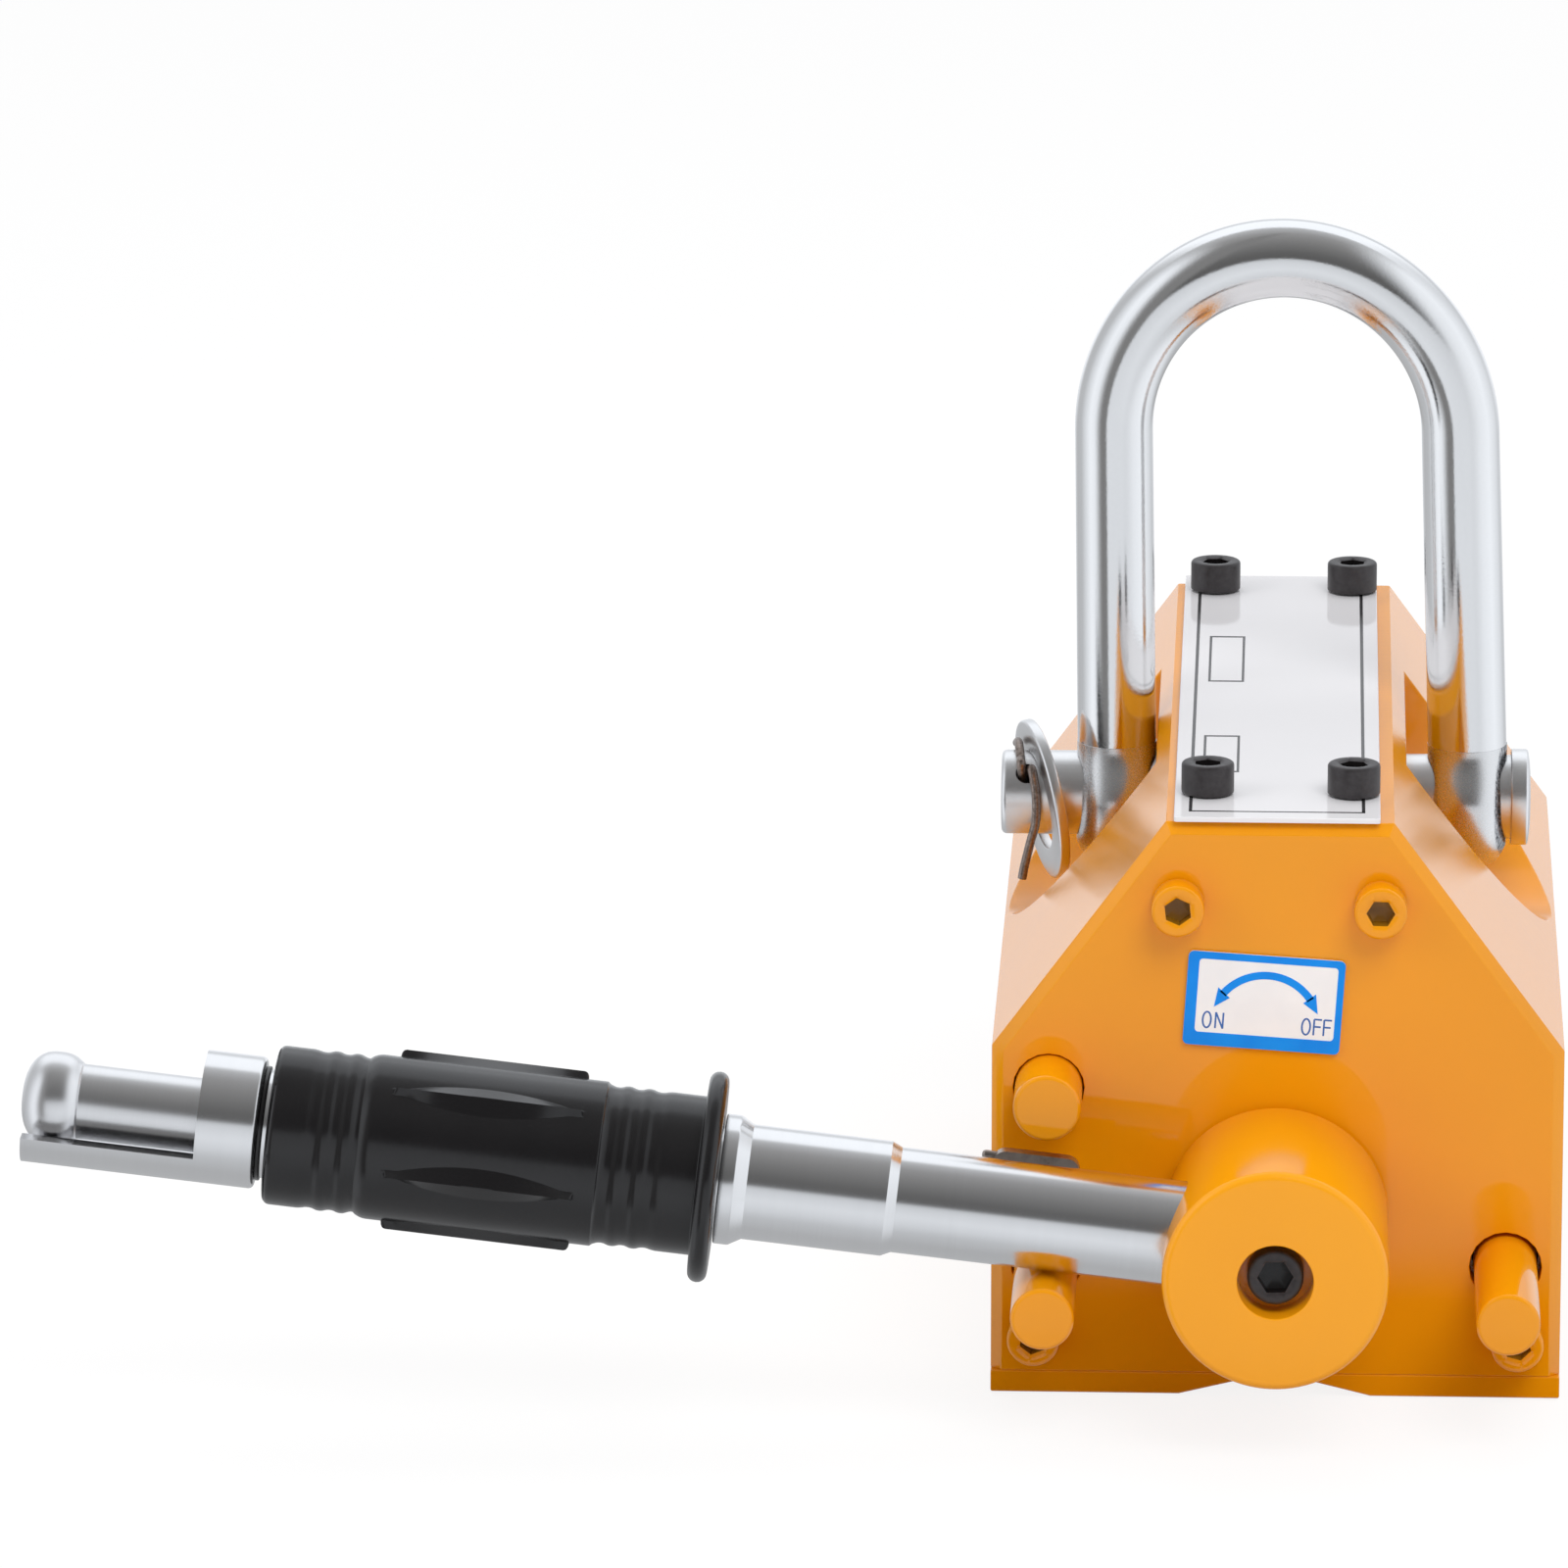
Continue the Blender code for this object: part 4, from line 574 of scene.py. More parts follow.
def plate(width, height, thickness, corner, edge=0.0):
    """Rounded plate lying on z = 0, its upper rim softened by edge."""
    bm = block((-width / 2, -height / 2, 0), (width / 2, height / 2, thickness))
    upright = [e for e in bm.edges if abs(e.verts[0].co.z - e.verts[1].co.z) > thickness / 2]
    rounded(bm, upright, corner, 6)
    if edge:
        rim = [e for e in bm.edges if all(v.co.z > thickness - MERGE for v in e.verts)]
        rounded(bm, rim, edge, 3)
    return bm


def facing_out(bm):
    bmesh.ops.recalc_face_normals(bm, faces=bm.faces[:])
    if bm.calc_volume(signed=True) < 0:
        bmesh.ops.reverse_faces(bm, faces=bm.faces[:])


def loose(name, bm):
    """An object that holds bm's shape while it is worked on."""
    facing_out(bm)
    return added(name, mesh_from(name, bm))


def settled(holder):
    """The shape of an object with its modifiers or its curve worked out; the object goes."""
    graph = bpy.context.evaluated_depsgraph_get()
    mesh = bpy.data.meshes.new_from_object(holder.evaluated_get(graph), depsgraph=graph)
    bm = bmesh.new()
    bm.from_mesh(mesh)
    bpy.data.meshes.remove(mesh)
    bpy.data.objects.remove(holder)
    return bm


def carved(bm, operation, *tools):
    """bm with other shapes cut out of it or joined to it."""
    holder = loose("work", bm)
    helpers = [loose("tool", tool) for tool in tools]
    for helper in helpers:
        boolean = holder.modifiers.new("carve", "BOOLEAN")
        boolean.operation = operation
        boolean.solver = "EXACT"
        boolean.object = helper
    result = settled(holder)
    for helper in helpers:
        bpy.data.objects.remove(helper)
    return merged(result)


def moved(bm, matrix):
    bm.transform(matrix)
    return bm


def at(x, y, z):
    return Matrix.Translation((x, y, z))


def tube(points, radius, closed=False, sides=6):
    """Round wire along points, with flat ends."""
    curve = bpy.data.curves.new("wire", "CURVE")
    curve.dimensions = "3D"
    curve.bevel_depth = radius
    curve.bevel_resolution = sides
    curve.use_fill_caps = not closed
    line = curve.splines.new("POLY")
    line.points.add(len(points) - 1)
    line.use_cyclic_u = closed
    for knot, point in zip(line.points, points):
        knot.co = (*point, 1)
    return merged(settled(added("wire", curve)))


def joined(*shapes):
    """One mesh that holds several shapes."""
    whole = bmesh.new()
    for shape in shapes:
        facing_out(shape)
        mesh = mesh_from("part", shape)
        whole.from_mesh(mesh)
        bpy.data.meshes.remove(mesh)
    return whole


WIDE_FACE = 100.0             # square millimetres; faces past this are shaded flat
CURVED_FROM = math.radians(2)
LEVEL_WITHIN = math.radians(0.4)
CAD_MERGE = 1e-3


def weigh(bm, angle, crisp):
    """Marks the edges to be softened; those that crisp picks stay sharp."""
    weight = bm.edges.layers.float.new("bevel_weight_edge")
    for face in bm.faces:
        face.smooth = any(CURVED_FROM < edge.calc_face_angle(0) < angle for edge in face.edges)
    for edge in bm.edges:
        if edge.calc_face_angle(0) < angle:
            continue
        if crisp and crisp(edge):
            edge.smooth = False
        else:
            edge[weight] = 1.0


def soften_edges(made, width):
    bevel = made.modifiers.new("edges", "BEVEL")
    bevel.width = width * MM
    bevel.segments = 3
    bevel.limit_method = "WEIGHT"
    bevel.harden_normals = all(face.use_smooth for face in made.data.polygons)


def piece(name, bm, materials, body, nodes=(), soften=0.0, crease=34, crisp=None):
    """Finished piece from a shape in millimetres, riding on a body and standing for CAD nodes."""
    if not isinstance(materials, (list, tuple)):
        materials = [materials]
    facing_out(bm)
    if soften:
        weigh(bm, math.radians(crease), crisp)
    bm.transform(Matrix.Scale(MM, 4))
    mesh = mesh_from(name, bm)
    if not soften:
        mesh.set_sharp_from_angle(angle=math.radians(crease))
        for face in mesh.polygons:
            face.use_smooth = face.area < WIDE_FACE * MM ** 2
    for material in materials:
        mesh.materials.append(material)
    made = added(name, mesh)
    if soften:
        soften_edges(made, soften)
    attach(made, body)
    if nodes:
        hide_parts(*nodes)
    return made


def dressed(node, name, materials, soften, fit=None, crisp=None, second=None):
    """A painted node's own shape, edges softened; fit places its points, second picks its other paint."""
    bm = bmesh.new()
    bm.from_mesh(NODES[node].data)
    bm.transform(Matrix.Scale(1 / MM, 4))
    merged(bm, CAD_MERGE)
    if fit:
        for vert in bm.verts:
            fit(vert.co)
    bmesh.ops.dissolve_limit(bm, angle_limit=LEVEL_WITHIN, verts=bm.verts[:], edges=bm.edges[:])
    bm.normal_update()
    for face in bm.faces:
        face.material_index = 1 if second and second(face) else 0
    piece(name, bm, materials, "housing", (node,), soften, crisp=crisp)


PLATE_SEAT = 0.3
PLATE_INSET = 0.2
NEAR = 0.05                   # points this near to a level lie on it


def block_and_covers(paint, milled):
    """Block with its end plates fitted flush, so that under the paint their joints don't show."""
    side, top = span("magnet_body")[1].xz
    ends = [abs(corner.y) for node in ("front_cover", "rear_cover") for corner in span(node)]
    inner = min(ends)
    wall = inner - PLATE_SEAT
    ledge = span("front_cover")[0].z

    def flush(point):
        if abs(abs(point.y) - inner) < NEAR:
            point.y = math.copysign(wall, point.y)
        if abs(abs(point.x) - side + PLATE_INSET) < NEAR:
            point.x = math.copysign(side, point.x)
        if abs(point.z - top + PLATE_INSET) < NEAR:
            point.z = top
        if abs(point.z - ledge) < NEAR:
            point.z = ledge - PLATE_SEAT

    def sloped(face):
        return abs(face.normal.y) < 0.9

    def joint(edge):
        return all(abs(abs(vert.co.y) - wall) < NEAR for vert in edge.verts)

    both = [paint, milled]
    dressed("magnet_body", "magnet_block", both, 0.3, None, joint, sloped)
    dressed("front_cover", "front_plate", both, 0.2, flush, joint, sloped)
    dressed("rear_cover", "rear_plate", both, 0.2, flush, joint, sloped)


# ---- screws and pins

# Radius of the shank and of the head, height of the head, size of the key
SMALL_SCREW = (2.5, 4.25, 5.0, 4.0)
HUB_SCREW = (3.0, 4.5, 4.0, 5.0)
SMALL_HEAD, HUB_HEAD = SMALL_SCREW[2], HUB_SCREW[2]
TIP = 0.4                     # chamfer of the shank's end
RIM = 0.35                    # and of the hexagon's mouth


def socket_screw(size, length, depth):
    """Socket-head screw about Z: head from 0 up, shank down; the hexagon's walls take the second material."""
    radius, head_radius, head, key = size
    socket = key / math.sqrt(3)
    bottom = head - depth
    bm = lathe([(-length, 0, 0), (-length, radius - TIP, 0), (TIP - length, radius, 0), (0, radius, 0),
                (0, head_radius, 0.2), (head, head_radius, 0.55), (head, socket + RIM, 0),
                (head - 0.3, socket, 0), (bottom, socket, 0), (bottom - socket * 0.35, 0, 0)], 48)
    for vert in bm.verts:
        reach = vert.co.xy.length
        if abs(reach - socket) < 1e-3 and vert.co.z > 0:
            angle = math.atan2(vert.co.y, vert.co.x) % (math.pi / 3)
            vert.co.xy *= key / 2 / math.cos(angle - math.pi / 6) / reach
    for face in bm.faces:
        middle = face.calc_center_median()
        if middle.xy.length < socket and 0 < middle.z < head - RIM:
            face.material_index = 1
    return bm


def cover_screws(paint, shade):
    for end, aim in (("front", ALONG_MINUS_Y), ("rear", ALONG_Y)):
        for number in range(1, 5):
            node = f"{end}_cover_screw_{number}"
            low, high = span(node)
            face = low.y + SMALL_HEAD if end == "front" else high.y - SMALL_HEAD
            middle = centre(node)
            place = at(middle.x, face, middle.z) @ aim @ about("Z", 13 + 23 * number)
            shape = moved(socket_screw(SMALL_SCREW, 16.8, 3.2), place)
            piece(f"{end}_screw_{number}", shape, [paint, shade], "housing", (node,))


def nameplate_screws(oxide, shade):
    for number in range(1, 5):
        node = f"nameplate_screw_{number}"
        middle = centre(node)
        place = at(middle.x, middle.y, span(node)[1].z - SMALL_HEAD) @ about("Z", 11 + 19 * number)
        shape = moved(socket_screw(SMALL_SCREW, 9.1, 3.0), place)
        piece(f"plate_screw_{number}", shape, [oxide, shade], "housing", (node,))


def hub_screw(oxide, shade):
    low, high = span("hub_screw")
    shape = socket_screw(HUB_SCREW, high.y - low.y - HUB_HEAD, 2.6)
    moved(shape, at(centre("hub_screw").x, low.y + HUB_HEAD, AXIS_Z) @ ALONG_MINUS_Y @ about("Z", 2))
    piece("hub_centre_screw", shape, [oxide, shade], "rotor", ("hub_screw",))


def cover_pins(paint):
    for node, radius in (("stop_pin_left", 5.1), ("stop_pin_right", 5.1), ("lock_pin", 5.45)):
        low, high = span(node)
        middle = centre(node)
        rows = [(low.y, 0, 0), (low.y, radius, 0.75), (high.y, radius, 0), (high.y, 0, 0)]
        shape = moved(lathe(rows, 72, segments=6), at(middle.x, 0, middle.z) @ ALONG_Y)
        piece(node + "_round", shape, paint, "housing", (node,))


# ---- hub and lever

# Outlines along the lever: station, radius and rounding of each corner
BAR_OUTSIDE = [(-12, 0, 0), (-12, 8.43, 0.6), (61.0, 8.43, 0), (62.6, 9.2, 0), (84.9, 9.2, 0),
               (87.0, 10.4, 0.2), (89.4, 10.4, 0.3), (89.4, 8.0, 0), (156.4, 8.0, 0), (156.4, 7.5, 0),
               (168.4, 7.5, 0)]
BAR_BORE = [(168.4, 6.3, 0), (138.4, 6.3, 0), (138.4, 3.1, 0), (26.1, 3.1, 0), (26.1, 0, 0)]
BAR_RING = [(161.65, 7.6, 0), (161.65, 8.7, 0), (162.4, 8.7, 0.1), (162.4, 7.6, 0)]
GRIP_SEAL = [(162.42, 7.6, 0), (162.42, 9.2, 0.2), (163.15, 9.2, 0.2), (163.15, 7.6, 0)]
GUARD = [(163.2, 7.8, 0), (163.2, 10.6, 0.8), (200.5, 10.6, 0), (200.5, 7.9, 0), (172.8, 7.9, 0),
         (172.8, 6.3, 0), (168.7, 6.3, 0), (168.7, 7.8, 0)]
STEM = [(165.3, 0, 0), (165.3, 3.1, 0), (160, 3.1, 0), (160, 6.0, 0), (192.2, 6.0, 0), (192.45, 6.3, 0)]
# The button's mushroom head
WAIST, HEAD_REACH, HEAD_RADIUS, FULLNESS = 196.1, 5.4, 7.5, 0.8


def hub(paint):
    """Hub, hollow for the shaft behind and for the screw's head in front, with a cross hole for the bar."""
    low, high = span("handle_hub")
    front, back = low.y, high.y
    rim, shaft, mouth, hole = (high.z - low.z) / 2 + 0.2, 9.3, 6.05, 3.3
    mouth_end, shaft_end = front + 6.9, back - 9.5
    rows = [(back, shaft, 0), (back, rim, 0.4), (front, rim, 1.35), (front, mouth, 0.25),
            (mouth_end, mouth, 0), (mouth_end, hole, 0), (shaft_end, hole, 0), (shaft_end, shaft, 0)]
    shape = moved(lathe(rows, 144, closed=True, segments=7), at(0, 0, AXIS_Z) @ ALONG_Y)
    shape = carved(shape, "DIFFERENCE", moved(rod(8.47, -12.3, 36, 96), LEVER))
    piece("lever_hub", shape, paint, "rotor", ("handle_hub",))


def lever_bar(steel):
    """Bar with its stepped sleeve and collar, bored for button and rod, and the ring past the grip."""
    slot = block((-1.5, 0, 27.2), (1.5, 17, 46.8))
    window = block((0, 5.33, 27.2), (17, 17, 46.8))
    shape = carved(lathe(BAR_OUTSIDE + BAR_BORE, 128, segments=4), "DIFFERENCE", slot, window)
    shape = moved(joined(shape, lathe(BAR_RING, 96, closed=True)), LEVER)
    piece("lever_bar", shape, steel, "rotor", ("handle_bar",), crease=20)


def latch(grey):
    """Plate behind the bar, with its web and a rounded nose."""
    length, middle = 14.0, 39.5
    leg = moved(plate(9.63, length, 2.8, 2.1, 0.5), at(3.615, 5.63, middle) @ ALONG_Y)
    web = block((-1.2, -2.8, middle - length / 2), (1.2, 6.5, middle + length / 2))
    nose = lathe([(0, 0, 0), (0, 0.75, 0), (2.4, 0.75, 0.6), (2.4, 0, 0)], 20)
    moved(nose, at(7.1, 7.2, 45.9))
    shape = moved(joined(leg, web, nose), LEVER)
    piece("latch_hook", shape, grey, "release", ("latch_plate",))


def guard(steel):
    """Half-open sleeve round the push button."""
    opening = block((-4.4, -21, 172.8), (21, 21, 230))
    shape = moved(carved(lathe(GUARD, 128, closed=True), "DIFFERENCE", opening), LEVER)
    piece("button_guard", shape, steel, "rotor", ("end_guard",), crease=40)


def station(point):
    """How far out along the lever a point lies, in millimetres."""
    return (LEVER.inverted() @ (point / MM)).z


def coil_spring(steel):
    """Return spring inside the bar."""
    bm = bmesh.new()
    bm.from_mesh(NODES["return_spring"].data)
    for face in bm.faces:
        face.smooth = True
    mesh = mesh_from("coil_spring", bm)
    mesh.set_sharp_from_angle(angle=math.radians(50))
    mesh.materials.append(steel)
    spring = added("coil_spring", mesh)
    reach = [station(vert.co) for vert in mesh.vertices]
    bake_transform(spring)
    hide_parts("return_spring")


def push_button(steel):
    """Stem with a mushroom head, full at the shoulders."""
    rows = list(STEM)
    for angle in range(-36, 90, 6):
        along, across = math.sin(math.radians(angle)), math.cos(math.radians(angle))
        place = WAIST + math.copysign(HEAD_REACH * abs(along) ** FULLNESS, along)
        rows.append((place, HEAD_RADIUS * across ** FULLNESS, 0))
    shape = lathe(rows + [(WAIST + HEAD_REACH, 0, 0)], 96)
    piece("push_button", moved(shape, LEVER), steel, "release", ("release_button",))


# ---- rubber grip

HOLLOW, CREST = 12.35, 12.95   # radii of the ringed ends
RIBS = 6
RIB_SECTOR = math.tau / RIBS
RIB_START, RIB_END = 112.0, 142.3
BARREL = 13.2
RIB_CREST = 14.45
RIB_NOSE = 0.8
NOSE_STEPS = (0, 0.1, 0.25, 0.45, RIB_NOSE)
RIB_FOOT = math.radians(11.7)
RIB_PHASE = math.radians(21.5)
FLANK_STEPS = (0, 0.05, 0.12, 0.26, 0.42, 0.58, 0.74, 0.88, 0.95)
PLAIN_STEPS = (0, 0.02, 0.06, 0.14, 0.25, 0.37, 0.5, 0.62, 0.74, 0.85, 0.94, 1.0)


def rib_shape(along, row):
    """Angle from the rib's ridge and radius, for a row of the grip and a place along the rib from -1 to 1."""
    foot = RIB_FOOT * max(1 - along * along, 0.25)
    side, step = (1, row) if row >= 0 else (-1, -row)
    if step >= len(FLANK_STEPS):
        share = PLAIN_STEPS[step - len(FLANK_STEPS)]
        return side * (foot + (RIB_SECTOR / 2 - foot) * share), BARREL
    angle = foot * FLANK_STEPS[step]
    from_end = (1 - abs(along)) * (RIB_END - RIB_START) / 2
    nose = min(from_end / RIB_NOSE, 1)
    crest = BARREL + (RIB_CREST - BARREL) * math.sqrt(1 - (1 - nose) ** 2)
    low_x, low_y = BARREL * math.cos(foot), BARREL * math.sin(foot)
    radius = crest * low_y / (math.cos(angle) * low_y - math.sin(angle) * (low_x - crest))
    return side * angle, radius


def rings(start, first, second, count):
    """Rows of a ringed end, where two radii take turns."""
    return [(start + 1.7 * i, second if i % 2 else first, 0.7) for i in range(count)]


def grip_rows():
    """Flange, ringed front end, barrel with the ribs' stations, ringed rear end."""
    rows = [(89.7, 8.2, 0), (89.7, 16.9, 1.5), (92.8, 16.9, 1.5), (92.8, 12.75, 0.3), (98.6, 12.75, 0.5)]
    rows += rings(100.3, HOLLOW, CREST, 5) + [(108.5, 12.85, 0.3), (108.8, BARREL, 0.15)]
    length = RIB_END - RIB_START - 2 * RIB_NOSE
    ribbed = [RIB_START + step for step in NOSE_STEPS]
    ribbed += [RIB_START + RIB_NOSE + length * i / 40 for i in range(1, 40)]
    ribbed += [RIB_END - step for step in reversed(NOSE_STEPS)]
    rows += [(place, BARREL, 0) for place in [110.2, 111.4] + ribbed + [143.0, 144.2]]
    rows += [(146.2, BARREL, 1.4), (146.95, HOLLOW, 0.3), (147.4, HOLLOW, 0.3)]
    rows += rings(148.9, CREST, HOLLOW, 4)
    return rows + [(155.7, 12.75, 0.5), (161.6, 12.75, 1.2), (161.6, 8.2, 0)]


def rubber_grip(rubber):
    """Moulded grip with six leaf-shaped ribs on its barrel; a seal follows its end."""
    half_rows = len(FLANK_STEPS) + len(PLAIN_STEPS) - 1
    sides = 2 * half_rows * RIBS
    shape = lathe(grip_rows(), sides, closed=True)
    middle, half = (RIB_START + RIB_END) / 2, (RIB_END - RIB_START) / 2
    for vert in shape.verts:
        if vert.co.xy.length < HOLLOW - NEAR:
            continue
        place = round(math.atan2(vert.co.y, vert.co.x) / math.tau * sides)
        row = (place + half_rows) % (2 * half_rows) - half_rows
        along = max(-1, min(1, (vert.co.z - middle) / half))
        angle, radius = rib_shape(along, row)
        if not RIB_START - 1e-3 < vert.co.z < RIB_END + 1e-3:
            radius = vert.co.xy.length
        angle += (place - row) * math.tau / sides + RIB_PHASE
        vert.co.x, vert.co.y = radius * math.cos(angle), radius * math.sin(angle)
    shape = moved(joined(shape, lathe(GRIP_SEAL, 96, closed=True)), LEVER)
    piece("lever_grip", shape, rubber, "rotor", ("rubber_grip",), crease=60)


# ---- nameplate and label

INK = 0.03                    # height of the print
LABEL_SIZE = (25.2, 15.6)
LABEL_CORNER = 0.9
ARC_RADIUS, ARC_HALF_WIDTH, ARC_START = 8.72, 0.62, math.radians(36)
ARC_X, ARC_Y = 0.36, -4.18
ARROW_TIP, ARROW_FAR, ARROW_NEAR = (8.35, -1.28), (7.85, 2.0), (5.9, 0.37)
LETTER_HALF, LETTER_LEVEL = 1.32, -3.5


def ink_frame(width, height, line):
    """Flat printed outline round a rectangle, lying on z = 0, its short sides drawn twice as heavy."""
    bm = bmesh.new()
    bmesh.ops.create_grid(bm, x_segments=1, y_segments=1, size=0.5,
                          matrix=Matrix.Diagonal((width, height / 2, 1, 1)))
    inner = bm.faces[:]
    bmesh.ops.inset_region(bm, faces=inner, thickness=line, use_even_offset=True, use_boundary=True)
    bmesh.ops.delete(bm, geom=inner, context="FACES_ONLY")
    bm.transform(Matrix.Scale(2, 4, (0, 1, 0)))
    return thickened(bm, INK)


def thickened(bm, height):
    """A flat shape given a small height above z = 0."""
    raised = bmesh.ops.extrude_face_region(bm, geom=bm.faces[:])
    bmesh.ops.translate(bm, verts=picked(raised, BMVert), vec=(0, 0, height))
    return bm


def nameplate(silver, ink):
    """Bare plate with a thin border and two empty boxes."""
    low, high = span("nameplate")
    middle = (low + high) / 2
    shape = moved(plate(*(high - low), 0.5, 0.15), at(middle.x, middle.y, low.z))
    piece("name_plate", shape, silver, "housing", ("nameplate",))
    left, right, front, rear, line = -14.67, 13.57, -77.5, 76.0, 0.54
    border = [block((left, front, 0), (left + line, rear, INK)),
              block((right - line, front, 0), (right, rear, INK)),
              block((left, front, 0), (right, front + 0.6, INK))]
    boxes = [moved(ink_frame(6.0, 31.2, 0.42), at(-9.4, 22.2, 0)),
             moved(ink_frame(5.9, 23.6, 0.42), at(-9.75, -40.8, 0))]
    lines = moved(joined(*border, *boxes), at(0, 0, high.z - 0.01))
    piece("plate_print", lines, ink, "housing")


def label(film, blue, ink):
    """White label with a blue border, an arrow for the lever's swing and the words ON and OFF."""
    low, high = span("on_off_label")
    middle = (low + high) / 2
    lay = at(middle.x, high.y, middle.z) @ about("Y", 3.7) @ ALONG_MINUS_Y
    shape = moved(plate(*LABEL_SIZE, 0.36, LABEL_CORNER, 0.08), lay)
    piece("switch_label", shape, film, "housing", ("on_off_label",))
    face = lay @ at(0, 0, 0.35)
    opening = moved(plate(22.3, 12.2, 1.0, 0.6), at(0.35, 0.5, -0.5))
    border = carved(plate(*LABEL_SIZE, 0.04, LABEL_CORNER), "DIFFERENCE", opening)
    piece("label_border", moved(joined(border, turn_arrow()), face), blue, "housing")
    letters = [moved(pen(points, closed), at(x, LETTER_LEVEL, 0)) for points, closed, x in lettering()]
    piece("label_letters", moved(joined(*letters), face), ink, "housing")


def turn_arrow():
    """Double-headed arrow on an arc, for the lever's swing."""
    bm = bmesh.new()
    ends = []
    for radius in (ARC_RADIUS - ARC_HALF_WIDTH, ARC_RADIUS + ARC_HALF_WIDTH):
        place = (ARC_X + radius * math.cos(ARC_START), ARC_Y + radius * math.sin(ARC_START), 0)
        ends.append(bm.verts.new(place))
    edge = bm.edges.new(ends)
    bmesh.ops.spin(bm, geom=[*ends, edge], cent=(ARC_X, ARC_Y, 0), axis=(0, 0, 1),
                   angle=math.pi - 2 * ARC_START, steps=40)
    for side in (-1, 1):
        corners = [bm.verts.new((ARC_X + side * x, y, 0)) for x, y in (ARROW_TIP, ARROW_FAR, ARROW_NEAR)]
        bm.faces.new(corners if side > 0 else (corners[0], corners[2], corners[1]))
    return thickened(bm, 0.05)


def lettering():
    """Strokes of ON and OFF: points, whether they close, and how far right the letter stands."""
    top = LETTER_HALF
    turns = [math.tau * i / 32 for i in range(32)]
    oval = [(0.66 * math.cos(turn), top * math.sin(turn), 0) for turn in turns]
    n_strokes = [[(-0.6, -top, 0), (-0.6, top, 0)], [(-0.6, top, 0), (0.6, -top, 0)],
                 [(0.6, -top, 0), (0.6, top, 0)]]
    f_strokes = [[(-0.5, -top, 0), (-0.5, top, 0)], [(-0.5, top, 0), (0.72, top, 0)],
                 [(-0.5, 0.1, 0), (0.6, 0.1, 0)]]
    strokes = [(oval, True, -8.95), (oval, True, 7.0)]
    strokes += [(points, False, -6.95) for points in n_strokes]
    return strokes + [(points, False, x) for points in f_strokes for x in (8.75, 10.35)]


def pen(points, closed):
    """Pen stroke, pressed flat."""
    return moved(tube(points, 0.16, closed, 3), Matrix.Diagonal((1, 1, 0.3, 1)))


# ---- shackle

SHACKLE_X = 1.15
SHACKLE_HALF = 28.95
SHACKLE_BAR = 6.5
LEG_STEPS = 24
LEG_END = 8.6                 # above the pin's axis
LEAN = 0.0245
LEAN_FROM = 110.0
PINCH = 0.00033
EYE_RADIUS = 11.6
EYE_REACH = 10.4
EYE_HALF = 6.62
EYE_TOP = 9.2                 # where the forged eye meets the bar, above the pin's axis
EYE_TAPER_FROM = -7.0
EYE_TAPER = 0.35
EYE_ROWS = 14
EYE_BORE = 7.3
REFLECTION_HALF_HEIGHT = 10.6     # of the painted dark reflection of the pin's head on the right eye
REFLECTION_DEPTH = 2.1
PIN_HEAD = 3.2
WIRE_HOLE = 4.2               # from the pin's left end
WIRE_RADIUS = 0.75
WIRE_CLEAR = 8.35             # from the pin's axis to the wire's
WIRE_ANGLE = 41               # degrees
WIRE_TILT = about("X", -WIRE_ANGLE)


def leaned(x, height):
    """Where the worn shackle stands: leaning a little on its pin, its legs drawn in towards the top."""
    rise = height - LEAN_FROM
    return x - LEAN * rise - (x - SHACKLE_X) * PINCH * rise


def bow():
    """Round bar bent over, its legs running down into the eyes."""
    turn_z = span("shackle")[1].z - SHACKLE_BAR - SHACKLE_HALF
    bm = bmesh.new()
    circle = bmesh.ops.create_circle(bm, segments=64, radius=SHACKLE_BAR,
                                     matrix=at(SHACKLE_X + SHACKLE_HALF, 0, turn_z))
    edges = list({edge for vert in circle["verts"] for edge in vert.link_edges})
    swept = bmesh.ops.spin(bm, geom=circle["verts"] + edges, cent=(SHACKLE_X, 0, turn_z), axis=(0, -1, 0),
                           angle=math.pi, steps=96)
    last = picked(swept, BMEdge, "geom_last")
    drop = (PIN_Z + LEG_END - turn_z) / LEG_STEPS
    for loop in (edges, last):
        for _ in range(LEG_STEPS):
            leg = bmesh.ops.extrude_edge_only(bm, edges=loop)
            verts = picked(leg, BMVert)
            bmesh.ops.translate(bm, verts=verts, vec=(0, 0, drop))
            loop = [edge for edge in picked(leg, BMEdge) if set(edge.verts) <= set(verts)]
        bmesh.ops.contextual_create(bm, geom=loop)
    for vert in bm.verts:
        vert.co.x = leaned(vert.co.x, vert.co.z)
    return bm


def eye_middle(side):
    """How far right an eye stands; side is -1 or 1."""
    return leaned(SHACKLE_X + side * SHACKLE_HALF, PIN_Z + 8)


def eye_reach(level):
    """How far the eye stands out before the pin's axis at a level above it."""
    if level < 0:
        return EYE_REACH * math.sqrt(1 - (level / EYE_RADIUS) ** 2)
    return EYE_HALF + (EYE_REACH - EYE_HALF) * math.cos(math.pi / 2 * level / EYE_TOP) ** 2


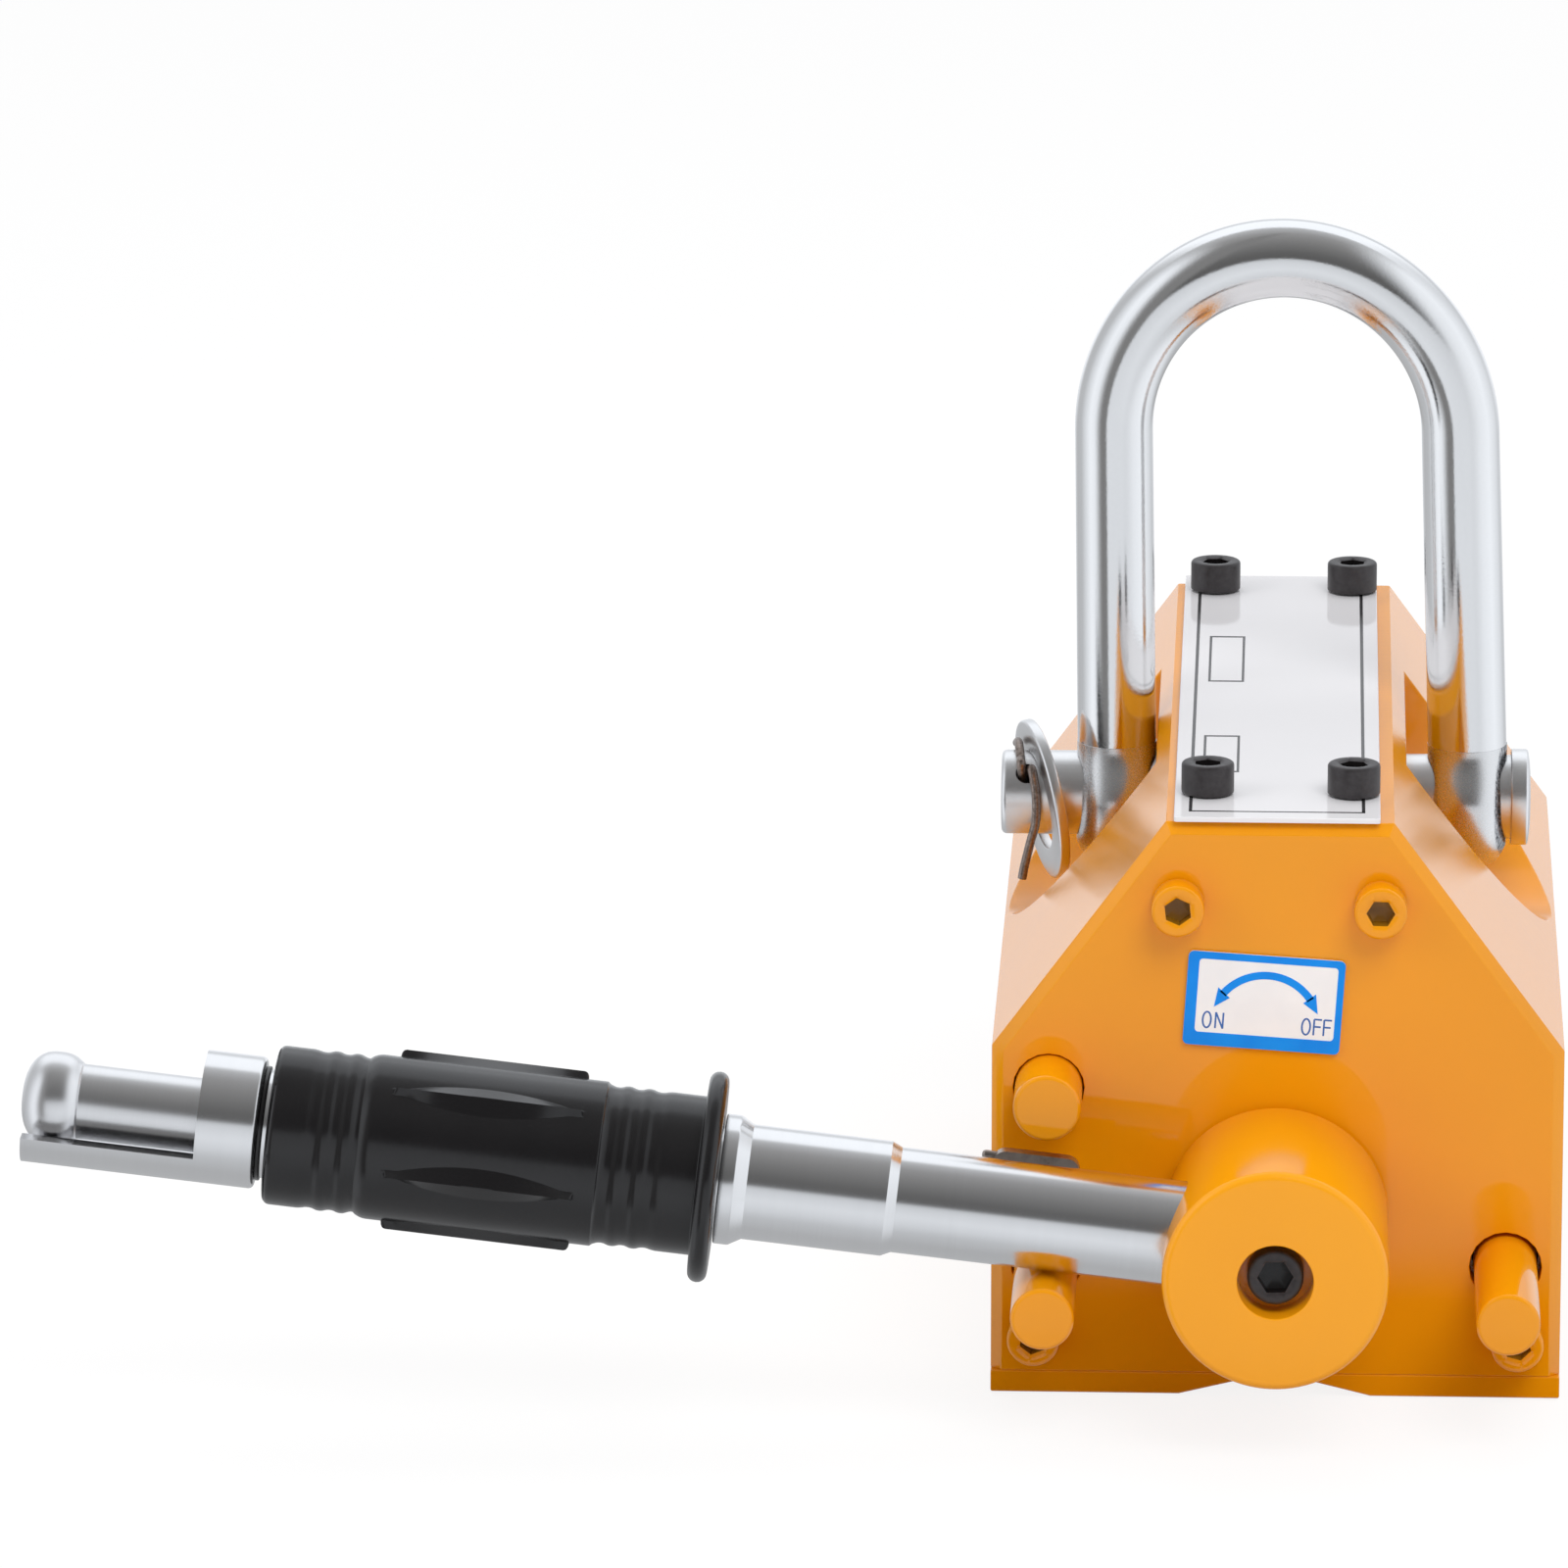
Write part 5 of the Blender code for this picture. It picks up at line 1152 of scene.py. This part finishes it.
def eye(side):
    """Forged eye: as wide as the bar and rounded like it, and round below the pin."""
    levels = [-EYE_RADIUS * math.cos(math.radians(angle)) for angle in range(4, 90, 4)]
    levels += [EYE_TOP * step / EYE_ROWS for step in range(EYE_ROWS + 1)]
    shape = lathe([(levels[0], 0, 0)] + [(level, EYE_HALF, 0) for level in levels] + [(EYE_TOP, 0, 0)], 96)
    for vert in shape.verts:
        reach = eye_reach(min(vert.co.z, EYE_TOP))
        narrowing = min(0, (vert.co.z - EYE_TAPER_FROM) / (EYE_RADIUS + EYE_TAPER_FROM)) ** 2
        vert.co.x *= 1 - EYE_TAPER * narrowing
        if abs(vert.co.y) > MERGE:
            swell = math.copysign(max(0, reach - EYE_HALF), vert.co.y)
            vert.co.y = swell + vert.co.y * min(1, reach / EYE_HALF)
    return moved(shape, at(eye_middle(side), 0, PIN_Z))


def shackle(zinc, forged):
    shape = carved(bow(), "UNION", eye(-1), eye(1))
    hole = moved(rod(EYE_BORE, -60, 60, 72), at(0, 0, PIN_Z) @ ALONG_X)
    shape = carved(shape, "DIFFERENCE", hole)
    for face in shape.faces:
        if face.calc_center_median().z < PIN_Z + EYE_TOP + 0.01:
            face.material_index = 1
    piece("shackle_bow", shape, [zinc, forged], "shackle", ("shackle",), crease=15)


def shackle_pin(zinc):
    low, high = span("shackle_pin")
    seat = high.x - PIN_HEAD
    shape = lathe([(low.x, 0, 0), (low.x, 7.0, 0.9), (seat, 7.0, 0), (seat, 8.0, 0.2),
                   (high.x - 0.4, 8.0, 0.4), (high.x, 5.5, 1.5), (high.x + 0.15, 0, 0)], 96)
    moved(shape, at(0, 0, PIN_Z) @ ALONG_X)
    place = at(low.x + WIRE_HOLE, 0, PIN_Z) @ WIRE_TILT @ ALONG_Y
    shape = carved(shape, "DIFFERENCE", moved(rod(1.8, -15, 15, 40), place))
    piece("cross_pin", shape, zinc, "housing", ("shackle_pin",))


def washer(zinc):
    """Loose washer that hangs on the pin, a little askew."""
    bore, rim, half, drop = 8.3, 13.5, 0.9, 1.15
    rows = [(-half, bore, 0.25), (-half, rim, 0.4), (half, rim, 0.4), (half, bore, 0.25)]
    middle = centre("washer")
    place = at(middle.x, middle.y, PIN_Z - drop) @ about("Z", 15.5) @ about("Y", -9) @ ALONG_X
    shape = moved(lathe(rows, 112, closed=True, segments=4), place)
    piece("pin_washer", shape, zinc, "housing", ("washer",))


def wire_path(points, steps=8):
    """Smooth curve through the points."""
    knots = [Vector(p) for p in points]
    knots = [2 * knots[0] - knots[1]] + knots + [2 * knots[-1] - knots[-2]]
    path = []
    for a, b, c, d in zip(knots, knots[1:], knots[2:], knots[3:]):
        for i in range(steps):
            t = i / steps
            path.append(0.5 * (2 * b + (c - a) * t + (2 * a - 5 * b + 4 * c - d) * t ** 2
                               + (3 * b - a - 3 * c + d) * t ** 3))
    return path + [knots[-2]]


def split_pin(wire):
    """One wire: a leg, the way through the pin, the eye, and the way back wrapped round the pin."""
    clear = WIRE_CLEAR
    leg = [(-0.6, -7.43, -13.0), (-0.2, -7.52, -10.8), (0.8, -7.93, -6.5), (1.6, -clear, -3.25),
           (1.76, -clear, 0), (1.44, -7.77, 3.25)]
    through = [(0.8, -clear), (0.8, clear), (0, clear + 2.6), (0, clear + 4.6), (-1.6, clear + 5.6),
               (-2.9, clear + 4.0), (-2.6, clear + 1.8), (-0.8, clear), (-0.8, -clear)]
    core = [tuple(WIRE_TILT @ Vector((x, y, 0))) for x, y in through]
    wrap = []
    for step in range(1, 6):
        angle = math.radians(WIRE_ANGLE + 15 * step)
        wrap.append((-0.8 - 0.2 * step, -clear * math.cos(angle), clear * math.sin(angle)))
    shape = tube(wire_path(leg + core + wrap), WIRE_RADIUS, sides=5)
    hole_x = span("shackle_pin")[0].x + WIRE_HOLE
    piece("bent_wire", moved(shape, at(hole_x, 0, PIN_Z)), wire, "housing", ("split_pin",))


# ---- assembly

CAD_FINISHES = {
    "brass": ("front_bush", "rear_bush", "pole_strip"),
    "rubber": ("shaft_seal",),
    "magnet": ("upper_magnet_front", "upper_magnet_rear", "rotor_magnet_front", "rotor_magnet_rear"),
    "grey": ("rotor_pole_left", "rotor_pole_right"),
    "steel": ("rotor_front_flange", "rotor_rear_flange", "drive_key", "release_rod", "latch_pin"),
    "oxide": ("front_flange_screw_left", "front_flange_screw_right",
              "rear_flange_screw_left", "rear_flange_screw_right"),
}


def cad_finishes(finishes):
    """Gives every node that shows as it is, or hides inside, its material."""
    for name, nodes in CAD_FINISHES.items():
        for node in nodes:
            mesh = NODES[node].data
            mesh.materials.clear()
            mesh.materials.append(finishes[name])


def build():
    camera()
    studio_world()
    lamps()
    floor()
    paint = yellow_paint("yellow_paint")
    steel = turned_steel("bright_steel", OUTWARD)
    zinc = zinc_plate("zinc_plate")
    oxide = black_oxide()
    rubber = black_rubber()
    shade = printed("socket_shade", (0.008, 0.007, 0.007), (0.014, 0.012, 0.012))
    block_and_covers(paint, yellow_paint("yellow_paint_over_milling", streaks=5.0, rough=0.13))
    cover_screws(paint, printed("shaded_paint", (0.36, 0.17, 0.006), (0.48, 0.23, 0.012)))
    cover_pins(paint)
    nameplate(silver_plate(), printed("plate_ink", (0.03, 0.03, 0.032), (0.05, 0.05, 0.052)))
    nameplate_screws(oxide, shade)
    label(printed("white_film", (0.92, 0.94, 0.96), (0.96, 0.975, 0.99)),
          printed("blue_print", (0.001, 0.26, 0.92), (0.002, 0.30, 0.97), 1.33),
          printed("letter_print", (0.04, 0.13, 0.42), (0.06, 0.17, 0.50)))
    hub(yellow_paint("yellow_paint_hub_and_painted_light", HUB_ENAMEL_AND_PAINTED_LIGHT, rough=0.16))
    hub_screw(oxide, shade)
    lever_bar(steel)
    # Latch: bare metal darkened to grey-brown, painted shade
    latch(plain_metal("bare_metal_in_painted_shade", (0.34, 0.29, 0.255), (0.48, 0.42, 0.38), 0.26, 0.38))
    guard(steel)
    coil_spring(steel)
    push_button(turned_steel("button_steel", OUTWARD, 0.80, 0.26))
    rubber_grip(rubber)
    shackle(zinc, forged_zinc())
    turned = zinc_plate("zinc_over_turning", 0.6, 0.84, 0.28, 0.36)
    shackle_pin(turned)
    washer(turned)
    split_pin(brown_wire())
    cad_finishes({"steel": steel, "oxide": oxide, "rubber": rubber,
                  "brass": plain_metal("brass", (0.60, 0.40, 0.14), (0.74, 0.52, 0.21), 0.28, 0.40),
                  "magnet": plain_metal("magnet_block", (0.10, 0.10, 0.11), (0.16, 0.16, 0.17), 0.40, 0.52),
                  "grey": plain_metal("grey_steel", (0.24, 0.22, 0.205), (0.36, 0.33, 0.31), 0.34, 0.48)})


build()
